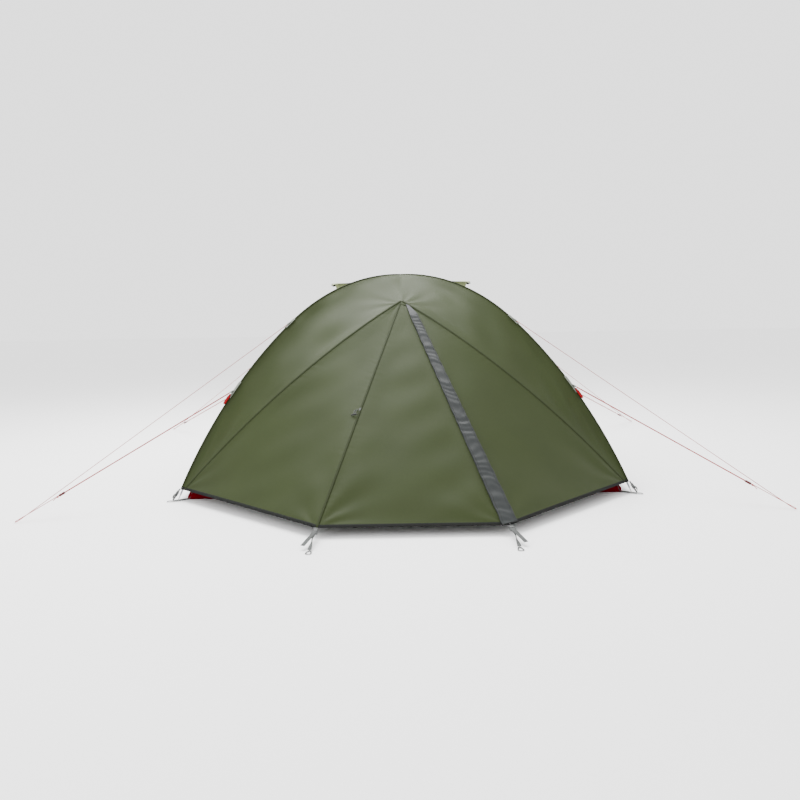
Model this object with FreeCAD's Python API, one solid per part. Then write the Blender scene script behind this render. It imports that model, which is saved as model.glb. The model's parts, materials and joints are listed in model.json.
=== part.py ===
"""A two-pole dome tent with two porches, standing pitched, in millimetres.

+X is the tent's length, -Y its front porch, +Z up.  The origin is on the ground
under the crossing of the poles.  Two arched poles cross at the crown, each in its
own upright diagonal plane.  The flysheet lies over them; the inner tent hangs
40 mm under them.  Fabric is modelled as a thin plain shell.
"""
import math
import os

import FreeCAD
import Part

V = FreeCAD.Vector
os.makedirs("parts", exist_ok=True)

# ---- driving dimensions ------------------------------------------------------
HALF_LENGTH = 1130.0      # pole foot along X
HALF_WIDTH = 800.0        # pole foot along Y
CROWN = 1150.0            # top of the flysheet
SHOULDER_RADIUS = 1130.0  # bend of the middle of a pole
SHOULDER_TURN = math.radians(40.0)
POLE_R = 4.25
POLE_WALL = 0.7
POLE_SECTIONS = 9
FOOT_Z = 36.0             # where a pole's last tube ends and its tip begins
FLY_T = 1.5
FLY_OUT = 9.0             # outer face of the flysheet over the upper pole's axis
HEM_Z = 58.0
PORCH_APEX = V(0, -400, 990)     # top of the door, where the brow seam peaks
PORCH_HEM_Y = -1520.0
PORCH_HALF = 400.0               # half the door's width at the hem
PORCH_SHIFT = 30.0               # the hem's middle lies right of the apex
PORCH_HEM_Z = 45.0
BROW_SAG = V(-515, -715, 622)    # middle of the brow seam, left half
ZIP_TOP_X = 45.0
ZIP_TOP_DOWN = 60.0
FLAP_WIDTH = 66.0
INNER_IN = 40.0           # inner tent's outer face inside the pole's axis
INNER_T = 1.2
TUB_H = 110.0
TUB_T = 2.0
CORD_R = 1.5
PANEL_GAP = 1.5           # between panels that are sewn together
UPPER_TAB_S = 730.0       # guy tabs, along the diagonal from the centre
LOWER_TAB_S = 1073.0
FRONT_PEG = V(-1775, -1190, 0)
REAR_PEG = V(-1880, 1720, 0)
WEB_W = 20.0              # webbing width and thickness
WEB_T = 1.6
PEG_HOLE_R = 6.0

FOOT_S = math.hypot(HALF_LENGTH, HALF_WIDTH)
UX = HALF_LENGTH / FOOT_S
UY = HALF_WIDTH / FOOT_S
X, Y, Z = V(1, 0, 0), V(0, 1, 0), V(0, 0, 1)
ORIGIN = V(0, 0, 0)


def save(name, solids):
    """Write one node: a single solid, or a group of separate solids."""
    solids = solids if isinstance(solids, list) else [solids]
    flat = [s for shape in solids for s in shape.Solids]
    shape = flat[0] if len(flat) == 1 else Part.makeCompound(flat)
    if not shape.isValid():
        print("INVALID", name)
    shape.exportStep("parts/%s.step" % name)
    box = shape.BoundBox
    print("%-22s %2d solids  %9.0f mm3  z %.1f" % (name, len(flat), shape.Volume, box.ZMin))


def turned(shape, base, axis, degrees):
    copy = shape.copy()
    copy.rotate(base, axis, degrees)
    return copy


def half_turn(shape):
    """The same piece at the rear: turned 180 degrees about the tent's middle."""
    return turned(shape, ORIGIN, Z, 180)


def mirrored(shape):
    """The same piece on the other end, left for right."""
    return shape.mirror(ORIGIN, X)


def polygon(points):
    return Part.Face(Part.makePolygon(points + [points[0]]))


def slab(points, direction, thickness):
    """A flat sheet: a polygon pushed along a direction."""
    return polygon(points).extrude(direction * thickness)


def bar(start, end, width, thickness, across):
    """A flat strip from start to end; across is the direction of its width."""
    along = (end - start).normalize()
    side = (across - along * across.dot(along)).normalize()
    up = along.cross(side)
    corner = start - side * (width / 2) - up * (thickness / 2)
    points = [corner, corner + side * width, corner + side * width + up * thickness,
              corner + up * thickness]
    return polygon(points).extrude(end - start)


# ---- the arch of a pole ------------------------------------------------------
class Arch:
    """Two tangent arcs each side: SHOULDER_RADIUS over the crown, then a flatter one."""

    def __init__(self, crown, foot_s, foot_z):
        self.r1 = SHOULDER_RADIUS
        self.a1 = SHOULDER_TURN
        self.c1 = (0.0, crown - self.r1)
        s1 = self.r1 * math.sin(self.a1)
        z1 = self.c1[1] + self.r1 * math.cos(self.a1)
        chord = math.hypot(foot_s - s1, z1 - foot_z)
        slope = math.atan2(z1 - foot_z, foot_s - s1)
        self.r2 = chord / (2 * math.sin(slope - self.a1))
        self.end = self.a1 + 2 * (slope - self.a1)
        self.c2 = (s1 - self.r2 * math.sin(self.a1), z1 - self.r2 * math.cos(self.a1))

    def point(self, angle, offset=0.0):
        """(distance along the diagonal, height) at a turn from the crown, signed."""
        a = abs(angle)
        centre, radius = (self.c1, self.r1) if a <= self.a1 else (self.c2, self.r2)
        s = centre[0] + (radius + offset) * math.sin(a)
        return math.copysign(s, angle), centre[1] + (radius + offset) * math.cos(a)

    def at_height(self, z, offset=0.0):
        return math.acos((z - self.c2[1]) / (self.r2 + offset))

    def at_reach(self, s, offset=0.0):
        """The turn where the arch is s along the diagonal."""
        a = math.asin(s / (self.r1 + offset))
        if a > self.a1:
            a = math.asin((s - self.c2[0]) / (self.r2 + offset))
        return a

    def at_length(self, length):
        """The turn at a distance along the pole from its crown, signed."""
        top = self.r1 * self.a1
        a = min(abs(length), top) / self.r1 + max(abs(length) - top, 0.0) / self.r2
        return math.copysign(a, length)

    def length(self):
        return 2 * (self.r1 * self.a1 + self.r2 * (self.end - self.a1))


POLE_B = Arch(CROWN - FLY_OUT, FOOT_S, FOOT_Z)                       # passes over
POLE_A = Arch(CROWN - FLY_OUT - 2 * POLE_R - 0.2, FOOT_S, FOOT_Z)    # passes under
DIAGONAL_A = V(UX, UY, 0)       # from the front left foot to the rear right foot
DIAGONAL_B = V(UX, -UY, 0)      # from the rear left foot to the front right foot


def in_plane(diagonal, pair):
    return diagonal * pair[0] + Z * pair[1]


def arch_wire(arch, diagonal, start, stop):
    """The pole's centre line between two turns, as arcs."""
    cuts = [start] + [a for a in (-arch.a1, arch.a1) if start < a < stop] + [stop]
    edges = []
    for low, high in zip(cuts, cuts[1:]):
        inner = 1e-9
        ends = [in_plane(diagonal, arch.point(a))
                for a in (low + inner, (low + high) / 2, high - inner)]
        edges.append((low, high, ends))
    wire = []
    for k, (low, high, ends) in enumerate(edges):
        if k:
            ends[0] = edges[k - 1][2][2]
        wire.append(Part.Arc(*ends).toShape())
    return Part.Wire(wire)


def pipe(wire, radius, bore=0.0):
    first = wire.Edges[0]
    start = first.valueAt(first.FirstParameter)
    tangent = first.tangentAt(first.FirstParameter)
    outer = wire.makePipe(Part.Face(Part.Wire(Part.makeCircle(radius, start, tangent))))
    if bore:
        outer = outer.cut(wire.makePipe(Part.Face(Part.Wire(Part.makeCircle(bore, start, tangent)))))
    return outer


def foot_frame(arch, diagonal, side):
    """Where a pole's last tube ends, and the way the pole points there."""
    at = in_plane(diagonal, arch.point(side * arch.end))
    way = (diagonal * (side * math.cos(arch.end)) - Z * math.sin(arch.end)).normalize()
    return at, way


COLLAR_L = 10.0
PIN_L = 22.0
PIN_R = 2.5
FERRULE_L = 70.0
tips = []
rings = []
for letter, arch, diagonal in (("a", POLE_A, DIAGONAL_A), ("b", POLE_B, DIAGONAL_B)):
    step = arch.length() / POLE_SECTIONS
    joints = [arch.at_length(-arch.length() / 2 + step * k) for k in range(POLE_SECTIONS + 1)]
    gap = 0.05 / arch.r1
    tubes = [pipe(arch_wire(arch, diagonal, low + gap, high - gap), POLE_R, POLE_R - POLE_WALL)
             for low, high in zip(joints, joints[1:])]
    save("pole_%s_sections" % letter, tubes)
    half = FERRULE_L / 2 / arch.r1
    ferrules = [pipe(arch_wire(arch, diagonal, a - half, a + half), POLE_R - POLE_WALL - 0.05, 2.6)
                for a in joints[1:-1]]
    save("pole_%s_ferrules" % letter, ferrules)
    save("pole_%s_shock_cord" % letter,
         pipe(arch_wire(arch, diagonal, -arch.end + 0.004, arch.end - 0.004), 1.25))
    for side in (-1, 1):
        at, way = foot_frame(arch, diagonal, side)
        at = at + way * 0.1
        collar = Part.makeCylinder(POLE_R, COLLAR_L, at, way)
        pin = Part.makeCylinder(PIN_R, PIN_L, at + way * COLLAR_L, way)
        tips.append(collar.fuse(pin))
        eye = at + way * ((at.z - 5.0) / -way.z)
        rings.append((eye, diagonal * side))
save("pole_tips", tips)

# ---- crown fitting and inner-tent clips ---------------------------------------
crown_a = POLE_A.point(0.0)[1]
crown_b = POLE_B.point(0.0)[1]
block = Part.makeCylinder(11, crown_b - crown_a + 8, V(0, 0, crown_a - 6.5))
for arch, diagonal in ((POLE_A, DIAGONAL_A), (POLE_B, DIAGONAL_B)):
    block = block.cut(pipe(arch_wire(arch, diagonal, -0.05, 0.05), POLE_R + 0.1))
save("pole_cross_clip", block)

CLIP_REACHES = (180.0, 420.0, 660.0, 900.0, 1120.0)


def inner_clip(arch, diagonal, side, reach):
    """A hook ring round the pole with a tongue down to the inner tent's ridge."""
    angle = side * arch.at_reach(reach)
    centre = in_plane(diagonal, arch.point(angle))
    inward = (in_plane(diagonal, arch.point(angle, -10.0)) - centre).normalize()
    across = diagonal.cross(Z)
    along = inward.cross(across).normalize()
    ring = Part.makeCylinder(POLE_R + 1.9, 10, centre - along * 5, along)
    drop = INNER_IN - 1.0 - (POLE_B.point(angle)[1] - arch.point(angle)[1])
    tongue = bar(centre + inward * POLE_R, centre + inward * drop, 8, 3, along)
    hole = Part.makeCylinder(POLE_R + 0.05, 12, centre - along * 6, along)
    return ring.fuse(tongue).cut(hole)


save("inner_clips", [inner_clip(arch, diagonal, side, reach)
                     for arch, diagonal in ((POLE_A, DIAGONAL_A), (POLE_B, DIAGONAL_B))
                     for side in (-1, 1) for reach in CLIP_REACHES])

# ---- curved shells between the ridges -------------------------------------------
STATIONS = 24


def strip(offset, thickness, low_z, scale, horizontal, width):
    """A sheet with the pole's arch for its section, pushed level along its width."""
    def curve(off):
        end = POLE_B.at_height(low_z, off)
        pairs = [POLE_B.point(end * k / STATIONS, off) for k in range(STATIONS + 1)]
        spline = Part.BSplineCurve()
        spline.interpolate([horizontal * (s * scale) + Z * z for s, z in pairs])
        return spline.toShape()
    outer, inner = curve(offset), curve(offset - thickness)
    ends = [[e.valueAt(e.FirstParameter), e.valueAt(e.LastParameter)] for e in (outer, inner)]
    edges = [outer, Part.LineSegment(ends[0][1], ends[1][1]).toShape(), inner,
             Part.LineSegment(ends[1][0], ends[0][0]).toShape()]
    across = Z.cross(horizontal)
    sheet = Part.Face(Part.Wire(Part.__sortEdges__(edges)))
    sheet.translate(across * (-width / 2))
    return sheet.extrude(across * width)


def wedge(horizontal, slope, inset):
    """The upright quarter between two ridges, pulled back from them by an inset."""
    across = Z.cross(horizontal)
    reach = 1600.0
    start = horizontal * (inset * math.hypot(1, slope) / slope)
    points = [start, start + horizontal * reach + across * (reach * slope),
              start + horizontal * reach - across * (reach * slope)]
    return slab(points, Z, 1400.0)


def end_panel(side, offset, thickness, low_z, inset):
    """The panel over one end of the tent, left (-1) or right (+1)."""
    sheet = strip(offset, thickness, low_z, UX, X * side, 2 * HALF_WIDTH + 100)
    return sheet.common(wedge(X * side, HALF_WIDTH / HALF_LENGTH, inset))


def side_panel(side, offset, thickness, low_z, inset):
    """The panel over the front (-1) or the rear (+1)."""
    sheet = strip(offset, thickness, low_z, UY, Y * side, 2 * HALF_LENGTH + 100)
    return sheet.common(wedge(Y * side, HALF_LENGTH / HALF_WIDTH, inset))


def arch_frame(offset, x):
    """Point, down-slope way and outward normal of the right end panel at a given x."""
    angle = POLE_B.at_reach(x / UX, offset)
    step = 1e-4
    ends = [V(UX * POLE_B.point(a, offset)[0], 0, POLE_B.point(a, offset)[1])
            for a in (angle, angle + step)]
    down = (ends[1] - ends[0]).normalize()
    return ends[0], down, V(-down.z, 0, down.x)


# ---- roof vents --------------------------------------------------------------
HOOD_HINGE_X = 270.0
HOOD_L = 135.0
HOOD_W = 170.0
HOOD_OPEN = math.radians(16.0)
VENT_L = 90.0
VENT_OUT = 60.0           # middle of the vent, beyond the hood's hinge
VENT_W = 110.0
PROP_LEAN = math.radians(50.0)
PROP_AT = 105.0

hinge_at, down, out = arch_frame(FLY_OUT, HOOD_HINGE_X)
hinge_at = hinge_at + out * 1.6
hood_way = down * math.cos(HOOD_OPEN) + out * math.sin(HOOD_OPEN)
hood_up = out * math.cos(HOOD_OPEN) - down * math.sin(HOOD_OPEN)
root = hinge_at + hood_way * 1.2
hood = slab([root - Y * (HOOD_W * 0.36), root - Y * (HOOD_W / 2) + hood_way * (HOOD_L * 0.7),
             root - Y * (HOOD_W * 0.3) + hood_way * HOOD_L,
             root + Y * (HOOD_W * 0.3) + hood_way * HOOD_L,
             root + Y * (HOOD_W / 2) + hood_way * (HOOD_L * 0.7), root + Y * (HOOD_W * 0.36)],
            hood_up, FLY_T)
prop_root = hinge_at + hood_way * PROP_AT - hood_up * 2.6
prop_way = (down * -math.sin(PROP_LEAN) - out * math.cos(PROP_LEAN)).normalize()
height = (prop_root - hinge_at).dot(out)
prop_l = (height - 3.0) / math.cos(PROP_LEAN)
prop = bar(prop_root + prop_way * 1.0, prop_root + prop_way * prop_l, 14, 1.5, Y)
vent_at, vent_down, vent_out = arch_frame(FLY_OUT, HOOD_HINGE_X + VENT_OUT)


def vent_block(grow, deep):
    """An upright block through the panel under the hood."""
    half_l = VENT_L / 2 + grow
    half_w = VENT_W / 2 + grow
    corner = vent_at - vent_out * deep
    return slab([corner - vent_down * half_l - Y * half_w, corner + vent_down * half_l - Y * half_w,
                 corner + vent_down * half_l + Y * half_w, corner - vent_down * half_l + Y * half_w],
                vent_out, 2 * deep)


fly_end = end_panel(1, FLY_OUT, FLY_T, HEM_Z, PANEL_GAP)
vent_mesh = fly_end.common(vent_block(-0.3, 20.0))
fly_end = fly_end.cut(vent_block(0.0, 20.0))
for name, shape in (("fly_end", fly_end), ("vent_mesh", vent_mesh), ("vent_hood", hood),
                    ("vent_prop", prop)):
    save(name + "_right", shape)
    save(name + "_left", mirrored(shape))

# ---- front and rear of the flysheet ------------------------------------------
hem_turn = POLE_B.at_height(HEM_Z, FLY_OUT)
ridge_foot = POLE_B.point(hem_turn, FLY_OUT)
BROW_FOOT = V(-UX * ridge_foot[0] + 22, -UY * ridge_foot[0] - 18, HEM_Z)
LEFT_HEM = V(PORCH_SHIFT - PORCH_HALF, PORCH_HEM_Y, PORCH_HEM_Z)
RIGHT_HEM = V(PORCH_SHIFT + PORCH_HALF, PORCH_HEM_Y, PORCH_HEM_Z)
fall = (V(0, PORCH_HEM_Y, PORCH_HEM_Z) - PORCH_APEX)
DOOR_FALL = fall.Length
fall = fall.normalize()
DOOR_OUT = V(0, fall.z, -fall.y)


def on_door(x, down_by, raised=0.0):
    """A point of the door's plane: x across, a distance down from the apex, raised outward."""
    return PORCH_APEX + X * x + fall * down_by + DOOR_OUT * raised


def left_seam_x(down_by):
    """Where the door's left seam is, across, a distance down from the apex."""
    return LEFT_HEM.x * down_by / DOOR_FALL


def brow(side):
    """The brow seam: one arc from the door's apex to a front corner."""
    middle = V(BROW_SAG.x * -side, BROW_SAG.y, BROW_SAG.z)
    foot = V(BROW_FOOT.x * -side, BROW_FOOT.y, BROW_FOOT.z)
    return Part.Arc(PORCH_APEX, middle, foot).toShape()


def ridge_curve(side):
    pairs = [POLE_B.point(hem_turn * k / STATIONS, FLY_OUT) for k in range(STATIONS + 1)]
    spline = Part.BSplineCurve()
    spline.interpolate([V(side * UX * s, -UY * s - 0.5, z) for s, z in pairs])
    return spline.toShape()


def ruled(first, second, inward, thickness):
    """A sheet of straight lines between two edges, given its thickness along one way."""
    return Part.makeRuledSurface(first, second).extrude(inward.normalize() * thickness)


roof_halves = [ruled(ridge_curve(side), brow(side), V(-0.25 * side, 0.45, -1), FLY_T)
               for side in (-1, 1)]
roof_front = [roof_halves[0], roof_halves[1]]

SEAM_START = 20.0                      # how far below the apex the seams start
left_seam_top = on_door(left_seam_x(SEAM_START) - 1.5, SEAM_START)
porch_left = ruled(brow(-1), Part.LineSegment(left_seam_top, LEFT_HEM - X * 1.5).toShape(),
                   V(0.45, 0.45, -0.75), FLY_T)

zip_top = on_door(ZIP_TOP_X, ZIP_TOP_DOWN)
zip_end = on_door(RIGHT_HEM.x, DOOR_FALL)
ZIP_WAY = (zip_end - zip_top).normalize()
ZIP_LEFT = DOOR_OUT.cross(ZIP_WAY).normalize()
if ZIP_LEFT.x > 0:
    ZIP_LEFT = ZIP_LEFT * -1
ZIP_L = (zip_end - zip_top).Length
CHAIN_HALF = 6.0
porch_right = ruled(brow(1), Part.LineSegment(zip_top - ZIP_LEFT * CHAIN_HALF,
                                              zip_end - ZIP_LEFT * CHAIN_HALF).toShape(),
                    V(-0.45, 0.45, -0.75), FLY_T)


def zip_point(along, left, raised=0.0):
    return zip_top + ZIP_WAY * along + ZIP_LEFT * left + DOOR_OUT * raised


def zip_half(side):
    """Half of the zip: tape level with the fabric and a thicker coil at the middle."""
    profile = [(0.2, 0.4), (2.6, 0.4), (2.6, 0.0), (CHAIN_HALF - 0.1, 0.0),
               (CHAIN_HALF - 0.1, -FLY_T), (2.6, -FLY_T), (2.6, -2.0), (0.2, -2.0)]
    return polygon([zip_point(4, side * left, raised) for left, raised in profile]) \
        .extrude(ZIP_WAY * (ZIP_L - 8))


door_cut = 1.5
door = slab([on_door(left_seam_x(30) + door_cut, 30),
             LEFT_HEM + X * door_cut,
             zip_point(ZIP_L, CHAIN_HALF), zip_point(0, CHAIN_HALF)], DOOR_OUT * -1, FLY_T)

FLAP_RISE = 7.5
FLAP_TOP = 70.0
flap_root = slab([zip_point(FLAP_TOP, 20), zip_point(ZIP_L - 1, FLAP_WIDTH / 2),
                  zip_point(ZIP_L - 1, FLAP_WIDTH / 2 - 5), zip_point(FLAP_TOP, 15)],
                 DOOR_OUT, FLAP_RISE - 1.0)
flap = slab([zip_point(FLAP_TOP, 20, FLAP_RISE), zip_point(ZIP_L - 1, FLAP_WIDTH / 2, FLAP_RISE),
             zip_point(ZIP_L - 1, -FLAP_WIDTH / 2, FLAP_RISE), zip_point(FLAP_TOP, -20, FLAP_RISE)],
            DOOR_OUT, FLY_T)
FLAP_HINGE = [zip_point(FLAP_TOP, 20, FLAP_RISE - 0.5),
              zip_point(ZIP_L - 1, FLAP_WIDTH / 2, FLAP_RISE - 0.5)]

SLIDER_AT = ZIP_L - 40
slider_plate = slab([zip_point(SLIDER_AT, -0.4, 0.8), zip_point(SLIDER_AT + 14, -0.4, 0.8),
                     zip_point(SLIDER_AT + 14, -5.4, 0.8), zip_point(SLIDER_AT, -5.4, 0.8)],
                    DOOR_OUT, 1.8)
pull_post = slab([zip_point(SLIDER_AT + 5, -2, 2.6), zip_point(SLIDER_AT + 9, -2, 2.6),
                  zip_point(SLIDER_AT + 9, -4, 2.6), zip_point(SLIDER_AT + 5, -4, 2.6)],
                 DOOR_OUT, 1.4)
puller = slab([zip_point(SLIDER_AT + 6, -1.5, 4.0), zip_point(SLIDER_AT + 36, -1.5, 4.0),
               zip_point(SLIDER_AT + 36, -5, 4.0), zip_point(SLIDER_AT + 6, -5, 4.0)],
              DOOR_OUT, 1.6)
slider = slider_plate.fuse(pull_post).fuse(puller)

# tie-back toggle and its loop on the left seam
TOGGLE_DOWN = 0.545      # of the way down the left seam
seam_way = (LEFT_HEM - PORCH_APEX).normalize()
left_out = (BROW_FOOT - PORCH_APEX).cross(LEFT_HEM - PORCH_APEX).normalize()
if left_out.z < 0:
    left_out = left_out * -1
toggle_base = PORCH_APEX + (LEFT_HEM - PORCH_APEX) * TOGGLE_DOWN
toggle_side = seam_way.cross(left_out).normalize()
if toggle_side.x > 0:
    toggle_side = toggle_side * -1
toggle_root = toggle_base + toggle_side * 18 + left_out * 13
toggle_loop = bar(toggle_root, toggle_root + seam_way * 38, 10, 1.6, toggle_side)
toggle_bar = Part.makeCylinder(4, 34, toggle_root + seam_way * 44 - toggle_side * 17, toggle_side)

for name, shape in (("fly_roof", roof_front), ("porch_left", porch_left),
                    ("porch_right", porch_right), ("door", [door, flap_root]),
                    ("storm_flap", flap), ("zip_fixed_half", zip_half(-1)),
                    ("zip_door_half", zip_half(1)), ("zip_slider", slider),
                    ("door_toggle", [toggle_loop, toggle_bar])):
    shapes = shape if isinstance(shape, list) else [shape]
    save(name + "_front", shapes)
    save(name + "_rear", [half_turn(s) for s in shapes])

# ---- inner tent ----------------------------------------------------------------


def tub_corner(z, inset):
    angle = POLE_B.at_height(z, -INNER_IN)
    s = POLE_B.point(angle, -INNER_IN)[0]
    return UX * s - inset, UY * s - inset


def frustum(low_z, high_z, inset):
    wires = []
    for z in (low_z, high_z):
        x, y = tub_corner(max(z, 0.0), inset)
        wires.append(Part.makePolygon([V(-x, -y, z), V(x, -y, z), V(x, y, z), V(-x, y, z),
                                       V(-x, -y, z)]))
    return Part.makeLoft(wires, True, True)


tub = frustum(0.0, TUB_H, 0.0).cut(frustum(TUB_T, TUB_H + 0.01, TUB_T))
save("groundsheet_tub", tub)

INNER_Z = TUB_H + 1.5
INNER_DOOR_HALF = 380.0
INNER_DOOR_LOW = 175.0
INNER_DOOR_HIGH = 835.0
DOOR_SLOT = 2.5


def doorway(inset):
    """A horseshoe prism through the inner wall, in front of the tent."""
    half = INNER_DOOR_HALF - inset
    low, high = INNER_DOOR_LOW + inset, INNER_DOOR_HIGH - inset
    y = -1000.0
    arc = Part.Arc(V(-half, y, low), V(0, y, high), V(half, y, low)).toShape()
    base = Part.LineSegment(V(half, y, low), V(-half, y, low)).toShape()
    return Part.Face(Part.Wire([arc, base])).extrude(Y * 950)


inner_wall = side_panel(-1, -INNER_IN, INNER_T, INNER_Z, PANEL_GAP)
inner_door = inner_wall.common(doorway(DOOR_SLOT))
inner_wall = inner_wall.cut(doorway(0.0))
save("inner_wall_front", inner_wall)
save("inner_wall_rear", half_turn(inner_wall))
save("inner_door_front", inner_door)
save("inner_door_rear", half_turn(inner_door))
inner_end = end_panel(1, -INNER_IN, INNER_T, INNER_Z, PANEL_GAP)
save("inner_end_right", inner_end)
save("inner_end_left", mirrored(inner_end))
hinge_turn = POLE_B.at_height(INNER_DOOR_LOW + 1.2, -INNER_IN - INNER_T / 2)
hinge_pair = POLE_B.point(hinge_turn, -INNER_IN - INNER_T / 2)
INNER_HINGE = V(0, -UY * hinge_pair[0], hinge_pair[1])

# ---- corner straps, eyelets and buckles ------------------------------------------
STRAP_START = 1356.0     # along the diagonal, at the groundsheet's corner
STRAP_END = 1462.0
PEG_S = 1444.0
strap_solids, eyelets, fly_straps, buckles = [], [], [], []
for eye, way in rings:
    strap = bar(way * STRAP_START + Z * 4.2, way * STRAP_END + Z * 4.2, WEB_W, WEB_T, Z.cross(way))
    eyelet = Part.makeCylinder(8.5, 2.4, V(eye.x, eye.y, 3.0))
    strap = strap.cut(Part.makeCylinder(8.6, 4, V(eye.x, eye.y, 2)))
    strap = strap.cut(Part.makeCylinder(PEG_HOLE_R, 20, way * PEG_S))
    strap_solids.append(strap)
    eyelets.append(eyelet.cut(Part.makeCylinder(4.6, 4, V(eye.x, eye.y, 2))))
    top = way * (ridge_foot[0] + 6) + Z * (HEM_Z + 2)
    low = way * (PEG_S - 16) + Z * 7.6
    fly_straps.append(bar(top, low, WEB_W - 2, WEB_T, Z.cross(way)))
    middle = top + (low - top) * 0.45
    run = (low - top).normalize()
    buckle = bar(middle - run * 12, middle + run * 12, 26, 5, Z.cross(way))
    buckles.append(buckle.cut(bar(middle - run * 14, middle + run * 14, WEB_W - 1.8, WEB_T + 0.2,
                                  Z.cross(way))))
save("corner_straps", strap_solids)
save("corner_eyelets", eyelets)
save("fly_corner_straps", fly_straps)
save("fly_corner_buckles", buckles)

porch_straps, porch_buckles = [], []
PORCH_PEG = V(412, -1732, 0)    # right of the hem's middle, and its mirror
for side in (-1, 1):
    top = V(PORCH_SHIFT + side * (PORCH_HALF + 3), PORCH_HEM_Y - 3, PORCH_HEM_Z - 1)
    peg = V(PORCH_SHIFT + side * PORCH_PEG.x, PORCH_PEG.y, 1.2)
    run = (peg - top).normalize()
    across = Z.cross(run)
    strap = bar(top, peg - run * 12, WEB_W - 2, WEB_T, across)
    flat_way = V(run.x, run.y, 0).normalize()
    loop = bar(peg - run * 12, peg - run * 12 + flat_way * 34,
               WEB_W - 2, WEB_T, across)
    peg_at = V(peg.x, peg.y, (peg - run * 12).z) + flat_way * 8
    hole = Part.makeCylinder(PEG_HOLE_R, 24, peg_at - Z * 12)
    print("porch peg hole", peg_at)
    middle = top + (peg - top) * 0.2
    buckle = bar(middle - run * 13, middle + run * 13, 26, 5, across)
    buckle = buckle.cut(bar(middle - run * 15, middle + run * 15, WEB_W - 1.8, WEB_T + 0.2, across))
    for turn in (lambda s: s, half_turn):
        porch_straps.append(turn(strap.fuse(loop).cut(hole)))
        porch_buckles.append(turn(buckle))
save("porch_straps", porch_straps)
save("porch_buckles", porch_buckles)

# ---- guylines --------------------------------------------------------------------
TAB_L = 30.0
RUNNER_AT = 190.0         # up the lower strand from the peg
RUNNER_L = 30.0
POUCH_OUT = FLY_OUT + 8.0  # middle of a pouch over the pole's axis


def ridge_point(angle, quarter, offset):
    s, z = POLE_B.point(angle, offset)
    return V(-UX * s, quarter * UY * s, z)


def tab_points(reach, quarter, peg):
    """A guy tab: where it starts on the ridge, where it ends, and the way to its peg."""
    base = ridge_point(POLE_B.at_reach(reach, FLY_OUT), quarter, FLY_OUT + 2.0)
    way = (peg - base).normalize()
    return base, base + way * TAB_L, way


def rounded(points, share=0.45):
    """Straight runs joined by tangent arcs: radius 0.45 of the shorter run over tan(half turn)."""
    edges = []
    here = points[0]
    radii = []
    for before, corner, after in zip(points, points[1:], points[2:]):
        back, ahead = before - corner, after - corner
        cut = share * min(back.Length, ahead.Length)
        back.normalize()
        ahead.normalize()
        turn = math.pi - back.getAngle(ahead)
        radii.append(cut / math.tan(turn / 2))
        start, stop = corner + back * cut, corner + ahead * cut
        bisect = (back + ahead).normalize()
        reach = math.hypot(radii[-1], cut) - radii[-1]
        edges.append(Part.LineSegment(here, start).toShape())
        edges.append(Part.Arc(start, corner + bisect * reach, stop).toShape())
        here = stop
    edges.append(Part.LineSegment(here, points[-1]).toShape())
    return Part.Wire(edges), radii


# Upper tab, down to the peg, round it, up through the runner, through the lower tab's loop
# and back down beside itself through the runner to a stopper knot.  Left side, by hand.
GUY_ROUTES = {
    "front": [(-619.5, -437.3, 869.8), (-1745.4, -1182.7, 23.1), (-1774.0, -1202.5, 5.0),
              (-1786.0, -1184.1, 5.0), (-1754.8, -1165.4, 20.4), (-919.2, -641.1, 515.9),
              (-904.7, -630.7, 524.9), (-897.6, -641.6, 524.9), (-913.2, -650.3, 515.9),
              (-1619.4, -1093.4, 97.1)],
    "rear": [(-617.1, 443.0, 872.9), (-1851.4, 1705.3, 19.9), (-1876.4, 1732.0, 5.0),
             (-1892.0, 1716.5, 5.0), (-1865.6, 1689.4, 16.6), (-913.9, 653.1, 521.7),
             (-901.9, 638.5, 528.5), (-892.7, 647.7, 528.5), (-906.1, 660.9, 521.7),
             (-1748.9, 1578.6, 74.4)],
}

tabs, pouches, knots = [], [], []
for name, quarter, peg in (("front", -1, FRONT_PEG), ("rear", 1, REAR_PEG)):
    route = [V(*point) for point in GUY_ROUTES[name]]
    wire, radii = rounded(route)
    tube = pipe(wire, CORD_R)
    ratio = tube.Volume / (math.pi * CORD_R ** 2 * wire.Length)
    print("guyline %s length %.0f radii %s volume ratio %.4f"
          % (name, wire.Length, " ".join("%.1f" % r for r in radii), ratio))
    save("guyline_%s_left" % name, tube)
    save("guyline_%s_right" % name, mirrored(tube))
    knot = Part.makeSphere(4.0, route[-1] + (route[-1] - route[-2]).normalize() * 3.9)
    knots += [knot, mirrored(knot)]
    for reach in (UPPER_TAB_S, LOWER_TAB_S):
        base, end, way = tab_points(reach, quarter, peg)
        tab = bar(base + way * 0.5, end, 14, 2.0, Z.cross(way))
        tabs += [tab, mirrored(tab)]
    hang, foot = (ridge_point(POLE_B.at_reach(reach, FLY_OUT), quarter, POUCH_OUT)
                  for reach in (LOWER_TAB_S + 19, LOWER_TAB_S + 58))
    pouch = bar(hang, foot, 24, 9, Z.cross(V(hang.x, hang.y, 0)))
    pouches += [pouch, mirrored(pouch)]
    start, end = route[4], route[5]
    strand = (end - start).normalize()
    beside = (route[9] - route[8]).normalize()
    on_first = start + strand * RUNNER_AT
    on_second = route[8] + beside * (on_first - route[8]).dot(beside)
    at, side = (on_first + on_second) * 0.5, (on_second - on_first).normalize()
    runner = bar(at - strand * (RUNNER_L / 2), at + strand * (RUNNER_L / 2), 22, 9, side)
    for hole_at in (on_first, on_second):
        runner = runner.cut(Part.makeCylinder(CORD_R + 0.8, 40, hole_at - strand * 20, strand))
    save("runner_%s_left" % name, runner)
    save("runner_%s_right" % name, mirrored(runner))
    print("runner way %s (%.5f, %.5f, %.5f) strand %.0f" % (name, *strand, (end - start).Length))
save("guy_tabs", tabs)
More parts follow.
